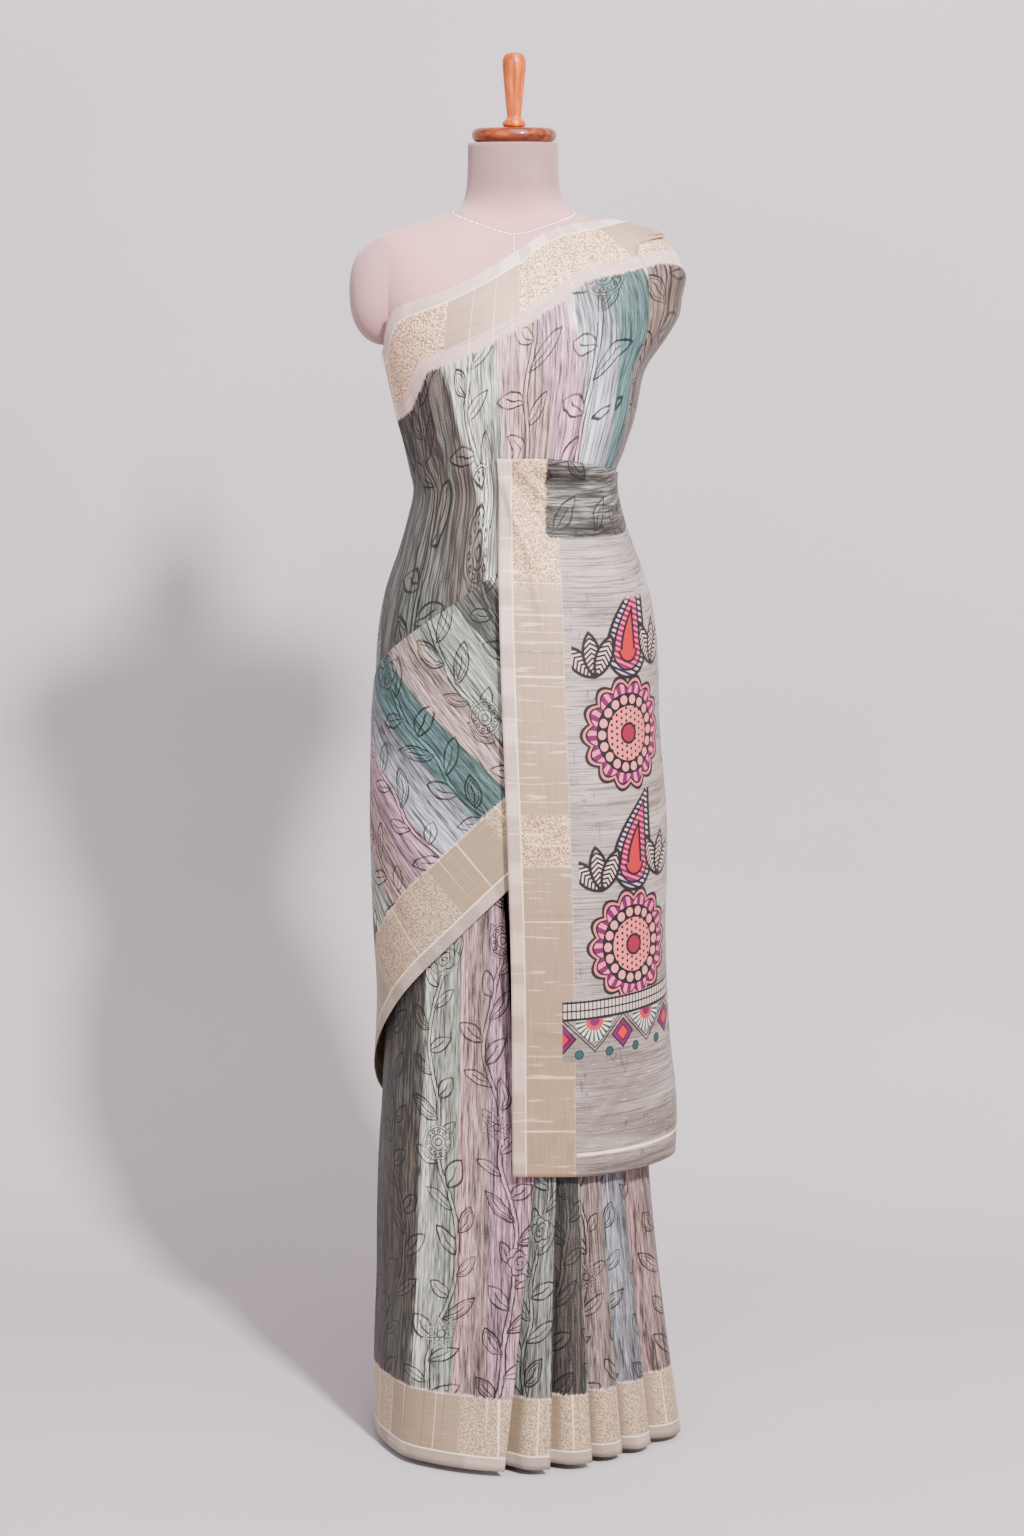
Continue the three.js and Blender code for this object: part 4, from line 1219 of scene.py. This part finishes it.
def shoulder_pattern(angle, z, run, point, s):
    deep = EDGE_TREE.find(point)[2]
    deep *= 1 - 0.28 * smooth(-22, 6, angle) * smooth(40, 15, angle)
    turned_over = smooth(20, 60, angle)
    upright = FRONT_STRIPE + (angle - along(BODICE_RIGHT, z)) / STRIPE_TURN
    across = BACK_STRIPE + (along_upper_edge(point) - UPPER_RUN[-1]) / STRIPE
    stripe = upright + (across - upright) * turned_over
    return stripe * STRIPE, CLOTH_WIDTH - deep, stripe


# Painted shade: the shoulder's copy of the silk is darkened much, for the shade where it turns away from
# the light.
shoulder_silk = printed_silk("printed_silk_shoulder", (152, 145, 138))
shoulder = cloth("cloth_shoulder_fall", 90, 110, shoulder_place, shoulder_pattern, shoulder_silk)

# Hip: the lower half of the same width, which lies slanting over the left hip and comes to a
# point at the side. Its other gold border is the slanting edge, and it ends under the pleats' top.
HIP_LOW = (  # angle, height
    (-285, 270), (-250, 300), (-205, 380), (-180, 438), (-160, 490), (-130, 570),
    (-92, 662), (-70, 705),
)
STRIPES_NEAR, STRIPES_FAR = 75, 280
HIP_STRIPES = (  # stripe, and its place along the selvedge at those distances inside it
    (-9, -276, -262),
    (-8, -228, -216),
    (-7, -180, -170),
    (-6, -134, -122),
    (-5, -87, -72),
    (-4, -39, -36),
    (-3, 24, 5),
    (-2, 76, 55),
    (-1, 106, 102),
    (0, 186, 161),
    (1, 240, 216),
)
HIP_CREASES = (  # angle and height of each end, height of the ridge, half width
    (-168, 905, -122, 760, 1.8, 10),
    (-158, 850, -108, 735, -1.6, 9),
    (-166, 800, -128, 660, 2.0, 10),
    (-170, 730, -140, 590, -2.0, 9),
    (-174, 660, -156, 540, 2.2, 9),
    (-134, 930, -104, 860, -1.2, 8),
    (-112, 950, -94, 880, 1.2, 8),
    (-190, 840, -184, 560, 2.4, 11),
    (-206, 820, -204, 520, -2.4, 11),
    (-224, 840, -226, 480, 2.6, 12),
    (-246, 860, -250, 420, -2.4, 12),
    (-266, 880, -272, 400, 2.2, 11),
)
HIP_END = -70
HIP_LIFT, HIP_SWING, HIP_TUCK = 9.1, 5, 1.6
HIP_DEGREE = 2.65
CORNER_ANGLE, CORNER_HEIGHT = -91, 660


def hip_place(s, t):
    angle = BACK_END + (HIP_END - BACK_END) * s
    low, top = along(HIP_LOW, angle), along(HIP_TOP, angle)
    z = low + (top - low) * t
    lift = HIP_LIFT + HIP_SWING * smooth(700, 420, z) + over_pleats(angle, z)
    outside = smooth(CORNER_ANGLE, CORNER_ANGLE - 8, angle)
    lift += outside * (creased(HIP_CREASES, angle, z) + uneven(angle, z, 1.0, 11.0))
    lift -= HIP_TUCK * smooth(top - 40, top, z)
    return draped(CLOTH_SECTIONS, angle, z, lift), angle, z


def hip_pattern(angle, z, run, point, s):
    step = 4.0
    slope = (along(HIP_LOW, angle + step) - along(HIP_LOW, angle - step)) / (2 * step * HIP_DEGREE)
    inside = (z - along(HIP_LOW, angle)) / math.sqrt(1 + slope**2)
    side, rise = HIP_DEGREE * (angle - CORNER_ANGLE), z - CORNER_HEIGHT
    place = (rise + side) / math.sqrt(2)
    share = min(max((inside - STRIPES_NEAR) / (STRIPES_FAR - STRIPES_NEAR), -0.4), 1.4)
    edges = [(low + (high - low) * share, stripe) for stripe, low, high in HIP_STRIPES]
    return place / 1000, inside / 1000, between(edges, place)


# Painted shade: the hip's copy of the silk is darkened a little, for the weaker light lower down.
hip_silk = printed_silk("printed_silk_hip", (228, 228, 227))
hip = cloth("cloth_hip_swath", 130, 130, hip_place, hip_pattern, hip_silk)

# Decorated end: the saree comes round the right side from the back and hangs in front as the top
# layer. Raw silk with painted ornament, a lattice strip, a row of fans and a raw end.
PALLU_SECTIONS = (  # height, half sizes to the left, right, front and back, squareness
    (325, 184, 183, 162, 155, 2.2),
    (393, 183, 184, 159, 153, 2.2),
    (474, 176, 176, 155, 150, 2.2),
    (580, 172, 171, 150, 147, 2.2),
    (686, 174, 172, 146, 146, 2.2),
    (742, 172, 170, 144, 147, 2.2),
    (820, 166, 163, 141, 145, 2.2),
    (911, 160, 160, 134, 137, 2.2),
    (966, 153, 153, 126, 126, 2.2),
    (1001, 143, 143, 118.5, 118, 2.2),
    (1030, 132, 132, 111.5, 110, 2.2),
    (1058, 122, 122, 102.5, 101, 2.2),
    (1089, 116, 114.5, 94, 93, 2.2),
    (1112, 117, 115, 94.2, 92, 2.2),
    (1140, 125, 127, 101, 95, 2.2),
)
PALLU_LEFT = ((325, -90.5), (600, -91.5), (900, -96), (1140, -101))  # height, angle
PALLU_TOP = ((-101, 1132), (-60, 1130), (-20, 1116), (0, 1110), (95, 1090))  # angle, height
PALLU_LOW = ((-101, 344), (-40, 340), (-18, 342), (-4, 350), (12, 362), (95, 364))  # angle, height
PALLU_FOLDS = (  # angle, reach, spread, height where it is full, height where it ends
    (-62, 3, 9, 325, 900),
    (-18, 5, 9, 325, 760),
    (22, 7, 8, 325, 980),
    (48, 6, 9, 325, 860),
    (72, 7, 8, 325, 940),
)
PALLU_CREASES = (  # angle and height of each end, height of the ridge, half width
    (-90, 1129, -58, 1064, 5.0, 5),
    (-96, 1124, -68, 1044, -3.2, 5),
    (-99, 1114, -78, 1010, 4.6, 5),
    (-98, 1098, -88, 990, -2.0, 5),
    (-84, 1090, -76, 940, 2.6, 6),
    (-86, 1122, -24, 1110, 2.4, 4),
    (-78, 1110, -14, 1096, -2.2, 4),
    (-76, 1096, -20, 1080, 3.2, 5),
    (-66, 1082, -8, 1066, -2.4, 5),
    (-64, 1066, -10, 1046, 3.0, 5),
    (-60, 1046, 0, 1020, -1.5, 6),
    (-70, 1034, -30, 1016, 1.2, 6),
    (-86, 512, -44, 486, 1.4, 5),
    (-70, 372, -34, 470, 1.8, 6),
    (-62, 352, -20, 440, -1.4, 7),
    (-84, 430, -72, 560, 1.0, 8),
    (-40, 400, -10, 430, 1.6, 7),
    (-54, 640, -50, 820, 1.0, 10),
    (-30, 560, -26, 860, -1.4, 10),
    (8, 340, 10, 900, -2.2, 9),
    (36, 340, 38, 960, -2.0, 9),
    (60, 340, 62, 940, -2.0, 9),
    (-80, 348, -64, 420, -1.0, 7),
)


PALLU_START, PALLU_END = -101, 95
PALLU_LIFT = 2


def pallu_place(s, t):
    angle, z = edge_to_edge(
        (PALLU_START, PALLU_END), lambda a: along(PALLU_LOW, a), lambda a: along(PALLU_TOP, a),
        lambda z: along(PALLU_LEFT, z), lambda z: PALLU_END, s, t,
    )
    lift = PALLU_LIFT + folds(PALLU_FOLDS, angle, z)
    edge = smooth(along(PALLU_LEFT, z), along(PALLU_LEFT, z) + 6, angle)
    lift += edge * (creased(PALLU_CREASES, angle, z) + uneven(angle, z, 0.8, 19.0))
    return draped(PALLU_SECTIONS, angle, z, lift), angle, z


def pallu_pattern(angle, z, run, point, s):
    return run, (z - along(PALLU_LOW, angle)) / 1000, 0.0


BLACK, NAVY, MAGENTA, CORAL = (10, 5, 9), (20, 12, 96), (146, 0, 108), (200, 14, 46)
PINK, CREAM = (214, 110, 146), (208, 196, 192)


def filled(tree, tone, distance, paint):
    """The colour with a painted shape over it, from the distance outside the shape."""
    return mixed(tree, distance.fade(0.3, -0.3), tone, paint)


def inked(tree, tone, *lines):
    """The colour with black brush lines over it, each given by a distance and a width."""
    drawn = pen(*lines[0])
    for line in lines[1:]:
        drawn = drawn.most(pen(*line))
    return mixed(tree, drawn, tone, BLACK)


RING_RADIUS, RING_PETALS, RING_BEADS, BEAD_PLACE = 64, 14, 18, 0.585
DOT_GAP = 7.0


def ringed_flower(tree, tone, x, y):
    """A round flower of a generic kind: petals, a ring of beads, a dotted band and a heart."""
    out, turn = length_of(x, y), x.math("ARCTAN2", y)
    scallop = (turn * (RING_PETALS / 2)).math("SINE").absolute()
    rim = out - scallop * RING_RADIUS * 0.13 - RING_RADIUS * 0.86
    petal = rim + RING_RADIUS * 0.10
    core = out - RING_RADIUS * 0.17
    hatch = (turn * RING_PETALS * 2).math("SINE").above(0.1)
    bead_turn = (turn + math.pi).wrap(math.tau / RING_BEADS) - math.pi / RING_BEADS
    bead = length_of(out - RING_RADIUS * BEAD_PLACE, bead_turn * RING_RADIUS * BEAD_PLACE)
    dot_y = y + (x / DOT_GAP).floor().wrap(2.0) * (DOT_GAP / 2)
    dots = length_of(x.wrap(DOT_GAP) - DOT_GAP / 2, dot_y.wrap(DOT_GAP) - DOT_GAP / 2)
    dotted = mixed(tree, dots.fade(1.9, 1.5), (214, 156, 158), BLACK)
    tone = filled(tree, tone, rim, (212, 150, 160))
    tone = filled(tree, tone, petal, mixed(tree, hatch, MAGENTA, (214, 150, 176)))
    tone = filled(tree, tone, out - RING_RADIUS * 0.70, BLACK)
    tone = filled(tree, tone, bead - RING_RADIUS * 0.078, (214, 172, 172))
    tone = filled(tree, tone, out - RING_RADIUS * 0.47, dotted)
    tone = filled(tree, tone, core, mixed(tree, hatch, CORAL, NAVY))
    return inked(tree, tone, (rim, 3.2), (petal, 2.0), (core, 2.2))


def mango(x, y, size):
    """The traditional mango shape, a round foot drawn up to a bent tip: distance outside it."""
    radius = size * 0.36
    rise = (y / size).most(0.0)
    foot = length_of(x, y) - radius
    bent = (x - rise * rise * size * 0.36).absolute()
    body = (bent - (1 - rise.math("POWER", 1.7)) * radius) * 0.84
    return foot + (body - foot) * y.above(0.0)


MANGO_SIZE, MANGO_BANDS = 84, (8, 17)


def striped_mango(tree, tone, x, y):
    """A mango shape in bands: striped navy, striped magenta and a plain heart."""
    drop = mango(x, y, MANGO_SIZE)
    second, third = (drop + band for band in MANGO_BANDS)
    stripes = (x * 0.4 + y).math("SINE").above(0.0)
    tone = filled(tree, tone, drop, mixed(tree, stripes, NAVY, CREAM))
    tone = filled(tree, tone, second, mixed(tree, stripes, MAGENTA, PINK))
    tone = filled(tree, tone, third, CORAL)
    return inked(tree, tone, (drop, 3.2), (second, 2.2), (third, 2.2))


SPRIG_LENGTH, SPRIG_WIDTH = 48, 20
SPRIGS = (  # place of the foot beside and above the flower, turn of each leaf
    (-44, 62, (-0.8, -0.15, 0.45)),
    (44, 70, (-0.4, 0.25, 0.9)),
)


def hatched_sprig(tree, tone, x, y, turns):
    """A few leaves from one foot, each filled with slanting lines."""
    for turn in turns:
        leaf_x, leaf_y = turned_by(x, y, turn)
        leaf = pointed_leaf(leaf_x, leaf_y - 3, SPRIG_LENGTH, SPRIG_WIDTH)
        ribs = ((leaf_x.absolute() * 0.7 + leaf_y) * 1.15).math("SINE").above(0.0)
        tone = filled(tree, tone, leaf, mixed(tree, ribs, CREAM, BLACK))
        tone = inked(tree, tone, (leaf, 3.0))
    return tone


FLOWER_COLUMN, FLOWER_ROW = 152, 236


def painted(tree, tone, x, y):
    """Generic folk ornament in staggered columns: a ringed flower, a mango and two sprigs by turns."""
    column = (x / FLOWER_COLUMN).floor()
    staggered = y + column.wrap(2.0) * (FLOWER_ROW / 2)
    row = (staggered / FLOWER_ROW).floor()
    x, y = x - column * FLOWER_COLUMN - 72, staggered - row * FLOWER_ROW - 64
    tone = ringed_flower(tree, tone, x, y)
    tone = striped_mango(tree, tone, x - 2, y - 92)
    for foot_x, foot_y, turns in SPRIGS:
        tone = hatched_sprig(tree, tone, x - foot_x, y - foot_y, turns)
    return tone


FAN_WIDTH, FAN_POINT, DOT_DOWN, STRIP_DEEP = 76, 58, 60, 22


def fan_border(tree, base, x, y):
    """Lattice strip and a row of hanging fans: y runs down from the strip's top, in millimetres."""
    black, magenta, coral, teal = (18, 14, 18), (146, 0, 112), (206, 20, 66), (10, 108, 104)
    half = FAN_WIDTH / 2
    cell = x.wrap(FAN_WIDTH) - half
    between_cells = (x + half).wrap(FAN_WIDTH) - half
    edge = cell.absolute() - (FAN_POINT - y) * 1.02
    out, turn = length_of(cell, y - 23), cell.math("ARCTAN2", y - 23)
    rays = (turn * 22).math("SINE").above(0.0)
    below = y.above(STRIP_DEEP)
    fan = edge.fade(-3.4, -4.0) * below
    tone = mixed(tree, fan * out.fade(24, 22), base, mixed(tree, rays, teal, (214, 206, 200)))
    tone = mixed(tree, out.fade(11.5, 11) * below, tone, coral)
    tone = mixed(tree, out.fade(6.6, 6.2) * below, tone, magenta)
    outline = pen(edge, 1.7).most(pen(edge + 4.4, 1.3))
    tone = mixed(tree, outline * below * y.fade(DOT_DOWN, DOT_DOWN - 1), tone, black)
    kite = between_cells.absolute() + (y - 42).absolute() * 0.92
    tone = filled(tree, tone, kite - 15, magenta)
    tone = filled(tree, tone, kite - 8, coral)
    tone = mixed(tree, pen(kite - 15, 1.7).most(pen(kite - 8, 1.1)), tone, black)
    right_dot, left_dot = (
        length_of((x + shift).wrap(FAN_WIDTH) - half, y - DOT_DOWN) for shift in (half / 2, -half / 2)
    )
    dot = right_dot.least(left_dot)
    tone = mixed(tree, dot.fade(4.6, 4.2), tone, teal)
    tone = mixed(tree, pen(dot - 4.8, 0.9), tone, black)
    strip = y.fade(-0.4, 0.2) * y.fade(STRIP_DEEP + 0.4, STRIP_DEEP - 0.2)
    slats = x.wrap(5.0).fade(1.2, 1.8) * (y - 1.5).absolute().fade(1.0, 1.6)
    slats = slats * (y - 11).absolute().fade(0.7, 1.2) * (y - 20.5).absolute().fade(1.3, 1.9)
    return mixed(tree, strip, tone, mixed(tree, slats, black, (206, 198, 194)))


def raw_silk(tree, x, y):
    """Undyed slub silk with uneven weft along x, darker and frayed towards the raw lower edge."""
    picks = grain(tree, vector(tree, x * 0.012, y * 0.42), 1.0, 3.0, 0.65)
    wash = grain(tree, vector(tree, x * 0.006, y * 0.03), 1.0, 2.0)
    nub = grain(tree, vector(tree, x * 0.05, y * 0.8), 1.0, 2.0, 0.7)
    tone = mixed(tree, y.fade(150, 330), (170, 159, 151), (192, 182, 179))
    tone = mixed(tree, wash.fade(0.40, 0.62) * 0.45, tone, mixed(tree, 0.5, tone, (220, 214, 213)))
    tone = mixed(tree, picks.fade(0.46, 0.60) * 0.75, tone, (130, 116, 108))
    tone = mixed(tree, nub.fade(0.60, 0.74) * 0.5, tone, (226, 220, 216))
    hair = grain(tree, vector(tree, x / 22, y / 120), 1.0, 2.0, 0.6)
    veins = pen((hair - 0.5) * 60, 0.9) * grain(tree, vector(tree, x, y), 1 / 24, 1.0).fade(0.58, 0.64)
    tone = mixed(tree, veins * 0.6, tone, (118, 88, 104))
    frayed = y.fade(20, 10) * x.fade(70, 90)
    ends = mixed(tree, picks.fade(0.4, 0.6), (168, 152, 144), (112, 94, 86))
    return mixed(tree, frayed * 0.7, tone, ends)


HEAD_LOW = 703


def grey_head(tree, tone, x, y):
    """The colour with the printed grey cloth above the painting, crumpled across, with painted shade in
    dark bands along the crumples.
    """
    # Painted shade: dark bands along the crumples stand in for the shade in them; the same noise also
    # wobbles the grey head's edge.
    folded = grain(tree, vector(tree, x * 0.010, y * 0.075, 2.0), 1.0, 3.0, 0.6)
    grey = mixed(tree, folded.fade(0.38, 0.58), (158, 155, 149), (84, 75, 70))
    grey = mixed(tree, y.fade(HEAD_LOW + 13, HEAD_LOW + 1) * 0.6, grey, (96, 92, 84))
    ink, paler = vine_print(tree, y, x)
    grey = slubbed(tree, grey, y, x, 1.4, paler)
    grey = mixed(tree, ink * 0.96, grey, (70, 60, 62), "MULTIPLY")
    inside = y.fade(HEAD_LOW, HEAD_LOW + 3) * (x + (folded - 0.5) * 14).fade(54, 58)
    return mixed(tree, inside, tone, grey)


ART_LOW, ART_HIGH, ART_LEFT = 190, 638, 78
FRIEZE_TOP, FRIEZE_DEEP, FRIEZE_LEFT = 196, 68, 56
END_LINE_UP = 24
END_GLINT_LOW, END_GLINT_HIGH, TOP_GLINT = 344, 404, 640
END_SHADE = (212, 205, 196)


def end_silk(name):
    """Raw silk of the decorated end with its gold border, grey printed head and painting."""
    material, tree, shader = surface(name)
    u, v = flat_place(tree)
    x, y = u * 1000, v * 1000
    tone = raw_silk(tree, x, y)
    zone = y.fade(ART_LOW - 4, ART_LOW) * y.fade(ART_HIGH + 4, ART_HIGH - 4)
    zone = zone * x.fade(ART_LEFT - 2, ART_LEFT + 1)
    tone = mixed(tree, zone, tone, painted(tree, tone, x - ART_LEFT, y - ART_LOW))
    down = FRIEZE_TOP - y + (x - 60) * 0.045
    frieze = down.fade(-1, 0) * down.fade(FRIEZE_DEEP, FRIEZE_DEEP - 1) * x.fade(55, 57)
    fans = fan_border(tree, tone, x - FRIEZE_LEFT, down)
    white_line = pen(y - END_LINE_UP - x * 0.012, 2.6) * x.fade(70, 74)
    tone = mixed(tree, white_line * 0.5, tone, (232, 227, 223))
    # Painted glints: bands of the end's gold border get the painted glint specks.
    glint_zone = y.fade(END_GLINT_LOW, END_GLINT_LOW + 3) * y.fade(END_GLINT_HIGH, END_GLINT_HIGH - 3)
    glint_zone = glint_zone + y.fade(TOP_GLINT, TOP_GLINT + 30)
    gold, metal, _, painted_glint = gold_border(tree, y, x, 0.62, glint_zone)
    border = x.fade(71, 69.5)
    crossing = grain(tree, vector(tree, y / 5, x * 0.02, 8.0), 1.0, 1.0).fade(0.62, 0.70)
    gold = mixed(tree, crossing * 0.30, gold, (236, 228, 220))
    shaded = mixed(tree, 1.0, gold, END_SHADE, "MULTIPLY")
    gold = mixed(tree, y.fade(520, 160) * 0.55 + 0.35, gold, shaded)
    tone = mixed(tree, border, tone, gold)
    tone = mixed(tree, frieze, tone, fans)
    tone = grey_head(tree, tone, x, y)
    cloth_finish(tree, shader, tone, y, x, metal * border, painted_glint * border, 0.68)
    return material


pallu = cloth("cloth_pallu_end", 140, 170, pallu_place, pallu_pattern, end_silk("end_silk"))
